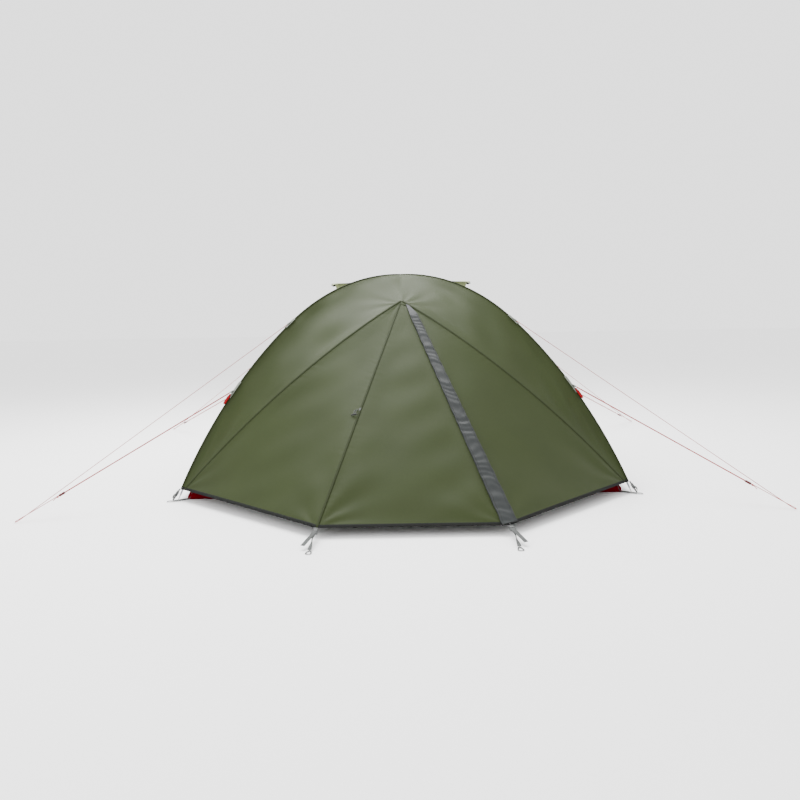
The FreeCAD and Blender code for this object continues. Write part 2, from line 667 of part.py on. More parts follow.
save("guyline_pouches", pouches)
save("guyline_knots", knots)

# ---- joint axes, for the record ---------------------------------------------------
print("door hinge", LEFT_HEM + DOOR_OUT * 0.5, seam_way)
print("flap hinge", FLAP_HINGE[0], (FLAP_HINGE[1] - FLAP_HINGE[0]).normalize())
print("zip way", ZIP_WAY * -1, ZIP_L)
print("hood hinge", hinge_at, "prop hinge", prop_root)
print("inner hinge", INNER_HINGE)
print("peg holes", rings[3][1] * PEG_S, "pole lengths", POLE_B.length(), POLE_A.length())
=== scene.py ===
"""The looks of a two-pole dome tent with two porches, standing pitched.

Lengths are metres.  +X is the tent's length, -Y its front porch and +Z up; the origin
is on the ground under the crossing of the poles.  Each surface is worked out from the
same driving dimensions as the frame, so it lies where the frame's panels are.
"""
import json
import math

import bpy
import numpy as np
from mathutils import Matrix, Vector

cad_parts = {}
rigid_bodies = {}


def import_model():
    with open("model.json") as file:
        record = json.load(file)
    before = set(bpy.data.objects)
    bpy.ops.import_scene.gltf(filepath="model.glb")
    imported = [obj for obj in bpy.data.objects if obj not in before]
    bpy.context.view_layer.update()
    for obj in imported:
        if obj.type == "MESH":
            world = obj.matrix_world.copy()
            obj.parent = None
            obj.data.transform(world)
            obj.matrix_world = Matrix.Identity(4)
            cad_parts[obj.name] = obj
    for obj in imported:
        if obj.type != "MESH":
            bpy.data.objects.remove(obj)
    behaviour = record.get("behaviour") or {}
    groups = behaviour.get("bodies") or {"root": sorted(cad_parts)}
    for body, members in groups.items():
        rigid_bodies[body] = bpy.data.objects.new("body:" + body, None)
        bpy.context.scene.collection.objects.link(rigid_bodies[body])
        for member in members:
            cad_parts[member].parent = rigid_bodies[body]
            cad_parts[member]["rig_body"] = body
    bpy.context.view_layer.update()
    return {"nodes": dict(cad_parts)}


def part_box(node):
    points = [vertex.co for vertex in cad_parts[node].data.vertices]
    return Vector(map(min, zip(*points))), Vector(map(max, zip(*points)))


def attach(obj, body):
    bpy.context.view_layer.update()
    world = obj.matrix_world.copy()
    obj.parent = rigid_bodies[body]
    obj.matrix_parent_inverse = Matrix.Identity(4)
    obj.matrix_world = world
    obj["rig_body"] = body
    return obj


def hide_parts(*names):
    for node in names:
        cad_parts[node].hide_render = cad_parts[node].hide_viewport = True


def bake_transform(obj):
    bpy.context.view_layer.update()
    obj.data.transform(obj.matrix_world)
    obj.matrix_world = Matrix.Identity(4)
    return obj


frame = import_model()

# ---- driving dimensions, as the frame has them ---------------------------------------
HALF_LENGTH, HALF_WIDTH, CROWN = 1.130, 0.800, 1.150
SHOULDER_RADIUS, SHOULDER_TURN = 1.130, math.radians(40.0)
FOOT_Z, FLY_OUT, HEM_Z = 0.036, 0.009, 0.058
PORCH_APEX = np.array([0.0, -0.400, 0.990])
PORCH_HEM_Y, PORCH_HALF, PORCH_SHIFT, PORCH_HEM_Z = -1.520, 0.400, 0.030, 0.045
BROW_SAG = np.array([-0.515, -0.715, 0.622])
ZIP_TOP_X, ZIP_TOP_DOWN, CHAIN_HALF = 0.045, 0.060, 0.006
INNER_IN, TUB_H, INNER_Z = 0.040, 0.110, 0.1115
HOOD_HINGE_X, HOOD_L, HOOD_W, HOOD_OPEN = 0.270, 0.135, 0.170, math.radians(16.0)
VENT_L, VENT_W, VENT_OUT = 0.090, 0.110, 0.060
FLAP_TOP, FLAP_WIDTH, FLAP_RISE = 0.070, 0.066, 0.0075
PEG_S = 1.444
UPPER_TAB_S, LOWER_TAB_S, CORD_R = 0.730, 1.073, 0.0015
FRONT_PEG = np.array([-1.775, -1.190, 0.0])
REAR_PEG = np.array([-1.880, 1.720, 0.0])
RUNNER_AT, RUNNER_L, TAB_LOOP = 0.190, 0.030, 0.0065

FOOT_S = math.hypot(HALF_LENGTH, HALF_WIDTH)
UX, UY = HALF_LENGTH / FOOT_S, HALF_WIDTH / FOOT_S
RIGHT, UP = np.array([1.0, 0, 0]), np.array([0, 0, 1.0])
ENDS = ("front", "rear")
SIDES = ("left", "right")


# ---- small vector tools --------------------------------------------------------------
def unit(v):
    return v / np.maximum(np.linalg.norm(v, axis=-1, keepdims=True), 1e-12)


def smooth(t):
    """0 below 0, 1 above 1, and 3t^2 - 2t^3 between them."""
    t = np.clip(t, 0.0, 1.0)
    return t * t * (3 - 2 * t)


def mix(a, b, t):
    """The point t of the way from a to b, for each t."""
    t = np.asarray(t)[..., None]
    return a * (1 - t) + b * t


def waves(u, v, seed, count, short, long):
    """The sum of plane waves in random directions, wavelengths from short to long, rms 1."""
    rng = np.random.default_rng(seed)
    turn, phase = rng.uniform(0, math.pi, count), rng.uniform(0, 2 * math.pi, count)
    length = np.exp(rng.uniform(math.log(short), math.log(long), count))
    along = u[..., None] * np.cos(turn) + v[..., None] * np.sin(turn)
    return np.sin(2 * math.pi * along / length + phase).sum(-1) * math.sqrt(2 / count)


def lengths(path):
    """The distance along a path of points to each of them."""
    steps = np.linalg.norm(np.diff(path, axis=0), axis=1)
    return np.concatenate([[0.0], np.cumsum(steps)])


def resampled(path, count):
    """count points evenly spaced along a path."""
    along = lengths(path)
    at = np.linspace(0, along[-1], count)
    return np.stack([np.interp(at, along, path[:, k]) for k in range(3)], 1)


# ---- a mesh gathered from grids ------------------------------------------------------
class Shape:
    """Quads and triangles, with UVs in metres, gathered into one mesh."""

    def __init__(self):
        self.points, self.quads, self.quad_uv, self.tris, self.tri_uv = [], [], [], [], []
        self.count = 0

    def grid(self, p, uv=None, around=False, back=False, keep=None):
        """Quads between neighbours of a rows x columns grid; around joins the last column to
        the first, and uv then has one column more; back turns the faces over."""
        rows, cols = p.shape[:2]
        if uv is None:
            uv = cloth_uv(p)
        index = self.count + np.arange(rows * cols).reshape(rows, cols)
        if around:
            index = np.concatenate([index, index[:, :1]], 1)
        def corners(a):
            return np.stack([a[:-1, :-1], a[1:, :-1], a[1:, 1:], a[:-1, 1:]], 2)
        quads = corners(index).reshape(-1, 4)
        quad_uv = corners(uv).reshape(-1, 4, 2)
        if keep is not None:
            quads, quad_uv = quads[keep.ravel()], quad_uv[keep.ravel()]
        if back:
            quads, quad_uv = quads[:, ::-1], quad_uv[:, ::-1]
        self.points.append(p.reshape(-1, 3))
        self.quads.append(quads)
        self.quad_uv.append(quad_uv)
        self.count += rows * cols
        return index

    def fan(self, ring, back=False):
        """Triangles from a closed ring of point numbers to a new point in its middle."""
        points = np.concatenate(self.points)[ring]
        self.points.append(points.mean(0)[None])
        after = np.roll(ring, -1)
        tris = np.stack([ring, after, np.full(len(ring), self.count)], 1)
        self.tris.append(tris[:, ::-1] if back else tris)
        self.tri_uv.append(np.zeros((len(ring), 3, 2)))
        self.count += 1

    def copies(self, template, faces, frames):
        """A small solid of quads set at many places; frames are origins and three axes."""
        at, x, y, z = frames
        p = (at[:, None] + template[None, :, 0, None] * x[:, None]
             + template[None, :, 1, None] * y[:, None] + template[None, :, 2, None] * z[:, None])
        step = len(template)
        quads = self.count + faces[None] + (np.arange(len(at)) * step)[:, None, None]
        self.points.append(p.reshape(-1, 3))
        self.quads.append(quads.reshape(-1, 4))
        self.quad_uv.append(np.zeros((len(at) * len(faces), 4, 2)))
        self.count += len(at) * step

    def add(self, other, move=np.eye(3), shift=np.zeros(3)):
        """Another shape, turned or mirrored by a matrix and shifted."""
        over = np.linalg.det(move) < 0
        self.points.append(np.concatenate(other.points) @ move.T + shift)
        for mine, theirs in ((self.quads, other.quads), (self.tris, other.tris)):
            mine += [(f[:, ::-1] if over else f) + self.count for f in theirs]
        for mine, theirs in ((self.quad_uv, other.quad_uv), (self.tri_uv, other.tri_uv)):
            mine += [f[:, ::-1] if over else f for f in theirs]
        self.count += other.count
        return self

    def piece(self, name, material, body, slot, stands_for=(), thick=0.0, move=None):
        """The mesh as a named piece that rides on a body; thick is a Solidify inwards."""
        points = np.concatenate(self.points)
        quads = np.concatenate(self.quads) if self.quads else np.zeros((0, 4), int)
        tris = np.concatenate(self.tris) if self.tris else np.zeros((0, 3), int)
        uv = [np.concatenate(self.quad_uv).reshape(-1, 2)] if self.quads else []
        uv += [np.concatenate(self.tri_uv).reshape(-1, 2)] if self.tris else []
        if move is not None:
            points = points @ move.T
            if np.linalg.det(move) < 0:
                quads, tris = quads[:, ::-1], tris[:, ::-1]
                parts = [np.concatenate(self.quad_uv)[:, ::-1].reshape(-1, 2)] if self.quads else []
                parts += [np.concatenate(self.tri_uv)[:, ::-1].reshape(-1, 2)] if self.tris else []
                uv = parts
        loops = np.concatenate([quads.ravel(), tris.ravel()]).astype(np.int32)
        starts = np.concatenate([np.arange(len(quads)) * 4,
                                 len(quads) * 4 + np.arange(len(tris)) * 3]).astype(np.int32)
        mesh = bpy.data.meshes.new(name)
        mesh.vertices.add(len(points))
        mesh.vertices.foreach_set("co", points.astype(np.float32).ravel())
        mesh.loops.add(len(loops))
        mesh.loops.foreach_set("vertex_index", loops)
        mesh.polygons.add(len(starts))
        mesh.polygons.foreach_set("loop_start", starts)
        mesh.polygons.foreach_set("use_smooth", np.ones(len(starts), bool))
        layer = mesh.uv_layers.new(name="UVMap")
        layer.data.foreach_set("uv", np.concatenate(uv).astype(np.float32).ravel())
        mesh.update(calc_edges=True)
        mesh.materials.append(material)
        piece = bpy.data.objects.new(name, mesh)
        bpy.context.collection.objects.link(piece)
        if thick:
            wall = piece.modifiers.new("wall", "SOLIDIFY")
            wall.thickness, wall.offset = thick, -1.0
        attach(piece, body)
        if stands_for:
            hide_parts(*stands_for)
        return piece


def cloth_uv(p):
    """Distances in metres across each row from its middle, and down the middle column."""
    rows, cols = p.shape[:2]
    across = np.zeros((rows, cols))
    across[:, 1:] = np.cumsum(np.linalg.norm(np.diff(p, axis=1), axis=2), 1)
    across -= across[:, cols // 2][:, None]
    down = np.zeros((rows, cols))
    down[1:] = np.cumsum(np.linalg.norm(np.diff(p, axis=0), axis=2), 0)
    return np.stack([across, down], 2)


def normals(p):
    """Unit normals of a grid: down the rows crossed with across the columns."""
    return unit(np.cross(np.gradient(p, axis=0), np.gradient(p, axis=1)))


def from_edges(p):
    """Distances of each grid point from the first and last column, and first and last row."""
    across = np.linalg.norm(np.diff(p, axis=1), axis=2)
    down = np.linalg.norm(np.diff(p, axis=0), axis=2)
    left = np.concatenate([np.zeros((len(p), 1)), np.cumsum(across, 1)], 1)
    top = np.concatenate([np.zeros((1, p.shape[1])), np.cumsum(down, 0)], 0)
    return left, left[:, -1:] - left, top, top[-1:] - top


def sweep(shape, path, side, up, profile, scale=None, closed=False):
    """A closed profile carried along a path: each point is the path's, plus the profile's
    first number along side and second along up, times scale; its ends are closed."""
    if scale is None:
        scale = np.ones((len(path), 2))
    p = (path[:, None] + profile[None, :, 0, None] * side[:, None] * scale[:, :1, None]
         + profile[None, :, 1, None] * up[:, None] * scale[:, 1:, None])
    rim = np.concatenate([profile, profile[:1]])
    around = lengths(np.c_[rim, np.zeros(len(rim))])
    along = lengths(path)
    uv = np.stack(np.broadcast_arrays(around[None], along[:, None]), 2)
    if closed:
        p = np.concatenate([p, p[:1]])[:-1]
        uv = np.concatenate([uv, uv[-1:] + [0, np.linalg.norm(path[0] - path[-1])]])
        index = shape.count + np.arange(len(path) * len(profile)).reshape(len(path), -1)
        index = np.concatenate([index, index[:1]])
        index = np.concatenate([index, index[:, :1]], 1)
        a = index
        quads = np.stack([a[:-1, :-1], a[:-1, 1:], a[1:, 1:], a[1:, :-1]], 2).reshape(-1, 4)
        b = uv
        quv = np.stack([b[:-1, :-1], b[:-1, 1:], b[1:, 1:], b[1:, :-1]], 2).reshape(-1, 4, 2)
        shape.points.append(p.reshape(-1, 3))
        shape.quads.append(quads)
        shape.quad_uv.append(quv)
        shape.count += p.shape[0] * p.shape[1]
        return shape
    index = shape.grid(p, uv, around=True, back=True)
    shape.fan(index[0, :-1], back=True)
    shape.fan(index[-1, :-1])
    return shape


def circle(radius, sides):
    turn = np.arange(sides) * 2 * math.pi / sides
    return radius * np.stack([np.cos(turn), np.sin(turn)], 1)


def flat_profile(width, thickness, round_steps=3):
    """A flat bar's section: half circles of the thickness at both edges of the width."""
    r = thickness / 2
    turn = np.linspace(-math.pi / 2, math.pi / 2, round_steps + 1)
    right = np.stack([width / 2 - r + r * np.cos(turn), r * np.sin(turn)], 1)
    return np.concatenate([right, -right])


def domed_profile(width, height, steps=6):
    """A strip's section: a low dome over a flat bottom a little under the surface."""
    x = np.linspace(width / 2, -width / 2, steps + 1)
    top = np.stack([x, height * (1 - (2 * x / width) ** 4) + 0.0001], 1)
    return np.concatenate([[[width / 2, -0.0004]], top, [[-width / 2, -0.0004]]])


def frame_of(path, reference):
    """Unit side and up along a path: side is square to the path and to the reference."""
    along = unit(np.gradient(path, axis=0))
    side = unit(np.cross(along, np.broadcast_to(reference, path.shape)))
    return side, unit(np.cross(side, along))


def ribbon(shape, path, facing, width, thickness):
    """A flat strip along a path, its broad face turned the way of facing."""
    side, up = frame_of(path, facing)
    return sweep(shape, path, side, up, flat_profile(width, thickness))


def tube(shape, path, radius, sides=8, reference=UP, scale=None):
    side, up = frame_of(path, reference)
    return sweep(shape, path, side, up, circle(radius, sides), scale)


STITCH = np.array([(-1, 0, 0), (-0.5, 1, 0.1), (-0.5, 0, 1), (-0.5, -1, 0.1), (0.5, 1, 0.1),
                   (0.5, 0, 1), (0.5, -1, 0.1), (1, 0, 0)], float)
STITCH_FACES = np.array([(1, 2, 5, 4), (2, 3, 6, 5), (0, 2, 1, 0), (0, 3, 2, 0),
                         (7, 4, 5, 7), (7, 5, 6, 7)])


def stitches(shape, path, facing, pitch=0.0055, size=(0.0019, 0.00045, 0.00055)):
    """A row of stitches: little pointed three-ridged grains end to end along a path."""
    total = lengths(path)[-1]
    count = max(int(total / pitch), 2)
    at = resampled(path, count)
    if np.ndim(facing) == 2:
        old, new = np.linspace(0, 1, len(facing)), np.linspace(0, 1, count)
        facing = np.stack([np.interp(new, old, facing[:, k]) for k in range(3)], 1)
    side, up = frame_of(at, facing)
    along = unit(np.gradient(at, axis=0))
    template = STITCH * np.array(size)
    quads = STITCH_FACES[:2]
    tris = STITCH_FACES[2:, :3]
    base = shape.count
    shape.copies(template, quads, (at, along, side, up))
    more = base + tris[None] + (np.arange(count) * len(template))[:, None, None]
    shape.tris.append(more.reshape(-1, 3))
    shape.tri_uv.append(np.zeros((count * len(tris), 3, 2)))
    return shape


# ---- the arch of a pole --------------------------------------------------------------
class Arch:
    """Two tangent arcs each side: the shoulder radius over the crown, then a flatter one."""

    def __init__(self, crown, foot_s, foot_z):
        self.r1, self.a1 = SHOULDER_RADIUS, SHOULDER_TURN
        self.z1 = crown - self.r1
        s1, z1 = self.r1 * math.sin(self.a1), self.z1 + self.r1 * math.cos(self.a1)
        chord = math.hypot(foot_s - s1, z1 - foot_z)
        slope = math.atan2(z1 - foot_z, foot_s - s1)
        self.r2 = chord / (2 * math.sin(slope - self.a1))
        self.end = self.a1 + 2 * (slope - self.a1)
        self.s2, self.z2 = s1 - self.r2 * math.sin(self.a1), z1 - self.r2 * math.cos(self.a1)

    def point(self, angle, offset=0.0):
        """Distance along the diagonal and height, at a turn from the crown."""
        angle = np.asarray(angle, float)
        top = angle <= self.a1
        radius = np.where(top, self.r1, self.r2) + offset
        s = np.where(top, 0.0, self.s2) + radius * np.sin(angle)
        return s, np.where(top, self.z1, self.z2) + radius * np.cos(angle)

    def at_height(self, z, offset=0.0):
        z = np.asarray(z, float)
        low = (z - self.z2) / (self.r2 + offset)
        high = (z - self.z1) / (self.r1 + offset)
        turn = np.arccos(np.clip(low, -1, 1))
        return np.where(turn > self.a1, turn, np.arccos(np.clip(high, -1, 1)))

    def at_reach(self, s, offset=0.0):
        s = np.asarray(s, float)
        first = np.arcsin(np.clip(s / (self.r1 + offset), 0, 1))
        second = np.arcsin(np.clip((s - self.s2) / (self.r2 + offset), 0, 1))
        return np.where(first <= self.a1, first, second)


POLE_B = Arch(CROWN - FLY_OUT, FOOT_S, FOOT_Z)
HEM_TURN = float(POLE_B.at_height(HEM_Z, FLY_OUT))
RIDGE_FOOT_S = float(POLE_B.point(HEM_TURN, FLY_OUT)[0])
BROW_FOOT = np.array([-UX * RIDGE_FOOT_S + 0.022, -UY * RIDGE_FOOT_S - 0.018, HEM_Z])
LEFT_HEM = np.array([PORCH_SHIFT - PORCH_HALF, PORCH_HEM_Y, PORCH_HEM_Z])
RIGHT_HEM = np.array([PORCH_SHIFT + PORCH_HALF, PORCH_HEM_Y, PORCH_HEM_Z])
FALL = np.array([0, PORCH_HEM_Y, PORCH_HEM_Z]) - PORCH_APEX
DOOR_FALL = float(np.linalg.norm(FALL))
FALL = FALL / DOOR_FALL
DOOR_OUT = np.array([0, FALL[2], -FALL[1]])
MIRROR = np.diag([-1.0, 1, 1])
HALF_TURN = np.diag([-1.0, -1, 1])


def on_door(x, down, raised=0.0):
    """Points of the door's plane: x across, a distance down from the apex, raised outward."""
    x, down, raised = np.broadcast_arrays(x, down, raised)
    return (PORCH_APEX + x[..., None] * RIGHT + down[..., None] * FALL
            + raised[..., None] * DOOR_OUT)


ZIP_START = on_door(ZIP_TOP_X, ZIP_TOP_DOWN)
ZIP_END = on_door(RIGHT_HEM[0], DOOR_FALL)
ZIP_L = float(np.linalg.norm(ZIP_END - ZIP_START))
ZIP_WAY = (ZIP_END - ZIP_START) / ZIP_L
ZIP_LEFT = unit(np.cross(DOOR_OUT, ZIP_WAY))
ZIP_LEFT = ZIP_LEFT * -np.sign(ZIP_LEFT[0])


def by_zip(along, left, raised=0.0):
    """Points by the zip: a distance down it, a distance left of it, raised outward."""
    along, left, raised = np.broadcast_arrays(along, left, raised)
    return (ZIP_START + along[..., None] * ZIP_WAY + left[..., None] * ZIP_LEFT
            + raised[..., None] * DOOR_OUT)


def arc_through(a, b, c, t):
    """Points t of the way round the circle's arc from a through b to c."""
    ab, ac = b - a, c - a
    square = np.cross(ab, ac)
    centre = a + (np.cross(square, ab) * ac.dot(ac) + np.cross(ac, square) * ab.dot(ab)) \
        / (2 * square.dot(square))
    x = a - centre
    y = np.cross(unit(square), x)
    turn = math.atan2((c - centre).dot(y), (c - centre).dot(x)) % (2 * math.pi)
    return centre + np.cos(turn * t)[:, None] * x + np.sin(turn * t)[:, None] * y


def brow(side, t):
    """The brow seam: one arc from the door's apex to a front corner."""
    flip = np.array([-side, 1, 1])
    return arc_through(PORCH_APEX, BROW_SAG * flip, BROW_FOOT * flip, t)


def ridge(side, t, offset=FLY_OUT, quarter=-1):
    s, z = POLE_B.point(HEM_TURN * t, offset)
    return np.stack([side * UX * s, quarter * UY * s, z], 1)


# ---- materials -----------------------------------------------------------------------
def linear(rgb):
    """A colour of 0 to 255 as the linear light of a shader."""
    c = np.array(rgb) / 255.0
    return tuple(np.where(c <= 0.04045, c / 12.92, ((c + 0.055) / 1.055) ** 2.4)) + (1.0,)


class Finish:
    """A procedural material: one Principled shader and the nodes that feed it."""

    def __init__(self, name, rough, **sockets):
        self.material = bpy.data.materials.new(name)
        self.material.use_nodes = True
        self.tree = self.material.node_tree
        self.shader = self.tree.nodes["Principled BSDF"]
        self.shader.inputs["Roughness"].default_value = rough
        for socket, value in sockets.items():
            self.shader.inputs[socket.replace("_", " ")].default_value = value

    def node(self, kind, inputs=(), **settings):
        made = self.tree.nodes.new("ShaderNode" + kind)
        for key, value in settings.items():
            setattr(made, key, value)
        for key, value in dict(inputs).items():
            socket = made.inputs[key]
            if isinstance(value, bpy.types.NodeSocket):
                self.tree.links.new(value, socket)
            else:
                socket.default_value = value
        return made

    def coordinates(self, kind="Object", scale=(1, 1, 1), turn=0.0):
        source = self.node("TexCoord").outputs[kind]
        placed = self.node("Mapping", {"Vector": source, "Scale": scale,
                                       "Rotation": (0, 0, turn)})
        return placed.outputs["Vector"]

    def noise(self, vector, scale, detail=3.0, rough=0.5):
        return self.node("TexNoise", {"Vector": vector, "Scale": scale, "Detail": detail,
                                      "Roughness": rough}).outputs["Fac"]

    def maths(self, operation, a, b=0.5):
        return self.node("Math", {0: a, 1: b}, operation=operation).outputs[0]

    def blend(self, factor, dark, light):
        """A colour between two, by a factor."""
        made = self.node("Mix", {0: factor, 6: dark, 7: light}, data_type="RGBA")
        return made.outputs[2]

    def stretch(self, value, low, high, to_low=0.0, to_high=1.0):
        return self.node("MapRange", {"Value": value, "From Min": low, "From Max": high,
                                      "To Min": to_low, "To Max": to_high}).outputs[0]

    def colour(self, socket):
        self.tree.links.new(socket, self.shader.inputs["Base Color"])

    def rough(self, socket):
        self.tree.links.new(socket, self.shader.inputs["Roughness"])

    def bump(self, height, distance, strength=1.0):
        made = self.node("Bump", {"Height": height, "Distance": distance, "Strength": strength})
        self.tree.links.new(made.outputs["Normal"], self.shader.inputs["Normal"])


def shade(rgb, factor):
    return linear(tuple(min(255, c * factor) for c in rgb))


def woven(name, rgb, rough=0.6, pitch=0.0012, depth=0.00012, sheen=0.15, mottle=0.06,
          gloss=0.06):
    """Coated weave: two crossing sets of fine threads, soft mottling and faint creasing."""
    made = Finish(name, rough, Sheen_Weight=sheen, Sheen_Roughness=0.5)
    made.shader.inputs["Specular IOR Level"].default_value = gloss
    placed = made.coordinates("UV")
    solid = made.coordinates("Object")
    wave = 0.314 / pitch
    warp = made.node("TexWave", {"Vector": placed, "Scale": wave, "Distortion": 0.4,
                                 "Detail": 1.0}, bands_direction="X").outputs["Fac"]
    weft = made.node("TexWave", {"Vector": placed, "Scale": wave, "Distortion": 0.4,
                                 "Detail": 1.0}, bands_direction="Y").outputs["Fac"]
    thread = made.maths("MAXIMUM", warp, weft)
    clouds = made.noise(solid, 3.5, 4.0)
    fine = made.noise(placed, 90.0, 5.0, 0.65)
    tone = made.maths("ADD", made.stretch(clouds, 0.3, 0.7, -0.5, 0.5),
                      made.stretch(fine, 0.3, 0.7, -0.35, 0.35))
    tone = made.maths("ADD", tone, made.stretch(thread, 0.0, 1.0, -0.3, 0.3))
    factor = made.stretch(tone, -1.0, 1.0)
    made.colour(made.blend(factor, shade(rgb, 1 - mottle), shade(rgb, 1 + mottle)))
    made.rough(made.stretch(fine, 0.2, 0.8, rough - 0.07, rough + 0.07))
    soft = made.noise(placed, 14.0, 3.0)
    height = made.maths("ADD", made.maths("MULTIPLY", thread, 0.35),
                        made.maths("MULTIPLY", soft, 2.0))
    made.bump(height, depth)
    return made.material


def webbing_finish(name, rgb):
    """Flat webbing: ribs along it with a herringbone across, lighter on the ribs."""
    made = Finish(name, 0.75)
    made.shader.inputs["Specular IOR Level"].default_value = 0.08
    placed = made.coordinates("UV")
    left = made.node("TexWave", {"Vector": made.coordinates("UV", (1, 0.6, 1), 0.6),
                                 "Scale": 0.314 / 0.002}, bands_direction="X").outputs["Fac"]
    ribs = made.node("TexWave", {"Vector": placed, "Scale": 0.314 / 0.0035},
                     bands_direction="X").outputs["Fac"]
    wear = made.noise(placed, 60.0, 4.0)
    tone = made.maths("ADD", made.maths("MULTIPLY", left, 0.5), made.maths("MULTIPLY", ribs, 0.3))
    tone = made.maths("ADD", tone, made.stretch(wear, 0.3, 0.7, -0.25, 0.25))
    made.colour(made.blend(tone, shade(rgb, 0.82), shade(rgb, 1.12)))
    made.bump(made.maths("ADD", left, ribs), 0.0003)
    return made.material


def moulded(name, rgb, rough=0.45, grain=400.0, gloss=0.3):
    """Moulded plastic: a fine even grain, handled smoother in patches."""
    made = Finish(name, rough)
    made.shader.inputs["Specular IOR Level"].default_value = gloss
    solid = made.coordinates("Object")
    cloud = made.noise(solid, 25.0, 3.0)
    grit = made.noise(solid, grain, 3.0)
    made.colour(made.blend(cloud, shade(rgb, 0.9), shade(rgb, 1.1)))
    made.rough(made.stretch(cloud, 0.3, 0.7, rough - 0.1, rough + 0.1))
    made.bump(grit, 0.00008)
    return made.material


def metal(name, rgb, rough=0.3, brushed=900.0):
    """Anodised or plated metal: fine drawn lines and slight clouding."""
    made = Finish(name, rough, Metallic=1.0)
    solid = made.coordinates("Object", (1, 1, 0.15))
    lines = made.noise(solid, brushed, 2.0)
    cloud = made.noise(made.coordinates("Object"), 12.0, 3.0)
    made.colour(made.blend(cloud, shade(rgb, 0.88), shade(rgb, 1.08)))
    made.rough(made.stretch(lines, 0.3, 0.7, rough - 0.08, rough + 0.12))
    made.bump(lines, 0.00003)
    return made.material


def cord_finish(name, rgb, fleck):
    """Braided cord: crossing spirals of yarn, with a pale tracer yarn winding round it."""
    made = Finish(name, 0.7)
    made.shader.inputs["Specular IOR Level"].default_value = 0.1
    uv = made.node("SeparateXYZ", {0: made.coordinates("UV")})
    around, along = uv.outputs[0], uv.outputs[1]
    turns = made.maths("MULTIPLY", around, 1 / (2 * math.pi * CORD_R))
    run = made.maths("MULTIPLY", along, 1 / 0.013)
    tracer = made.maths("FRACT", made.maths("ADD", turns, run))
    lines = made.maths("MULTIPLY", along, 1 / 0.004)
    yarns = made.maths("MULTIPLY", turns, 4.0)
    spirals = [made.maths("SINE", made.maths("MULTIPLY", made.maths(way, yarns, lines),
                                             2 * math.pi)) for way in ("ADD", "SUBTRACT")]
    braid = made.maths("MAXIMUM", *spirals)
    pale = made.stretch(tracer, 0.84, 0.90)
    body = made.blend(made.stretch(braid, -1, 1), shade(rgb, 0.8), shade(rgb, 1.1))
    made.colour(made.blend(pale, body, linear(fleck)))
    made.bump(braid, 0.0002)
    return made.material


OLIVE = (42, 49, 27)
FLY = woven("fly_coated_polyester", OLIVE, 0.48, sheen=0.0)
SEAM = woven("fly_seam_fold", (37, 43, 24), 0.6, sheen=0.0, mottle=0.08)
THREAD = moulded("stitch_thread", (26, 30, 18), 0.8, 400.0, 0.05)
FLAP = woven("storm_flap_grey", (44, 46, 46), 0.42, sheen=0.0, mottle=0.08)
TIP = woven("flap_tip_pale", (66, 67, 68), 0.5, sheen=0.0)
HEM = webbing_finish("hem_tape", (24, 25, 24))
BINDING = webbing_finish("hood_binding", (104, 105, 108))
HOOD = woven("hood_pale_olive", (126, 134, 96), 0.55, sheen=0.0)
WEBBING = webbing_finish("grey_webbing", (84, 86, 85))
TAB = webbing_finish("guy_tab_webbing", (120, 124, 116))
TUB = woven("groundsheet_red", (84, 3, 14), 0.5, pitch=0.0016, sheen=0.0, gloss=0.0)
INNER = woven("inner_breathable", (134, 130, 116), 0.75, sheen=0.05)
NETTING = woven("inner_netting", (22, 23, 23), 0.8, pitch=0.0018, depth=0.0003, sheen=0.0)
POUCH = woven("pouch_red", (120, 8, 16), 0.6, sheen=0.0)
PLASTIC = moulded("black_plastic", (20, 21, 21))
GREY_PLASTIC = moulded("grey_plastic", (92, 94, 93))
ZIP = moulded("zip_coil", (38, 40, 40), 0.5)
STEEL = metal("slider_steel", (120, 122, 124), 0.35)
ALUMINIUM = metal("pole_anodised", (150, 154, 158), 0.28)
BRIGHT = metal("ferrule_bright", (190, 192, 194), 0.25)
EYELET = metal("eyelet_plated", (168, 170, 168), 0.3)
CORD = cord_finish("guy_cord_red", (150, 5, 10), (150, 70, 66))
RUNNER = moulded("runner_plastic", (70, 10, 14), 0.4)

# ---- camera, light and floor ---------------------------------------------------------
CAMERA_AT = (-0.0163, -4.7037, 0.9203)
PITCH, YAW, ROLL = 0.1095, 0.0001, -0.0171
FOCAL = 35.44


def look(pitch, yaw, roll):
    """A camera's right, up and backward ways, from its pitch down, yaw left and roll."""
    cy, sy, cp, sp = math.cos(yaw), math.sin(yaw), math.cos(pitch), math.sin(pitch)
    right = np.array([cy, sy, 0])
    up = np.array([-sp * sy, sp * cy, cp])
    forward = np.array([-cp * sy, cp * cy, -sp])
    cr, sr = math.cos(roll), math.sin(roll)
    return right * cr + up * sr, up * cr - right * sr, -forward


lens = bpy.data.cameras.new("camera")
lens.lens, lens.sensor_width = FOCAL, 36.0
camera = bpy.data.objects.new("camera", lens)
bpy.context.collection.objects.link(camera)
placed = np.eye(4)
placed[:3, 0], placed[:3, 1], placed[:3, 2] = look(PITCH, YAW, ROLL)
placed[:3, 3] = CAMERA_AT
camera.matrix_world = Matrix(placed.tolist())
bpy.context.scene.camera = camera


def lamp(name, at, towards, size, power, colour=(1, 1, 1)):
    """A square soft light at a point, turned towards another."""
    data = bpy.data.lights.new(name, "AREA")
    data.shape, data.size, data.energy, data.color = "SQUARE", size, power, colour
    made = bpy.data.objects.new(name, data)
    bpy.context.collection.objects.link(made)
    back = unit(np.array(at, float) - np.array(towards, float))
    side = unit(np.cross(UP if abs(back[2]) < 0.99 else RIGHT, back))
    turned = np.eye(4)
    turned[:3, :] = np.stack([side, np.cross(back, side), back, at], 1)
    made.matrix_world = Matrix(turned.tolist())
    return made


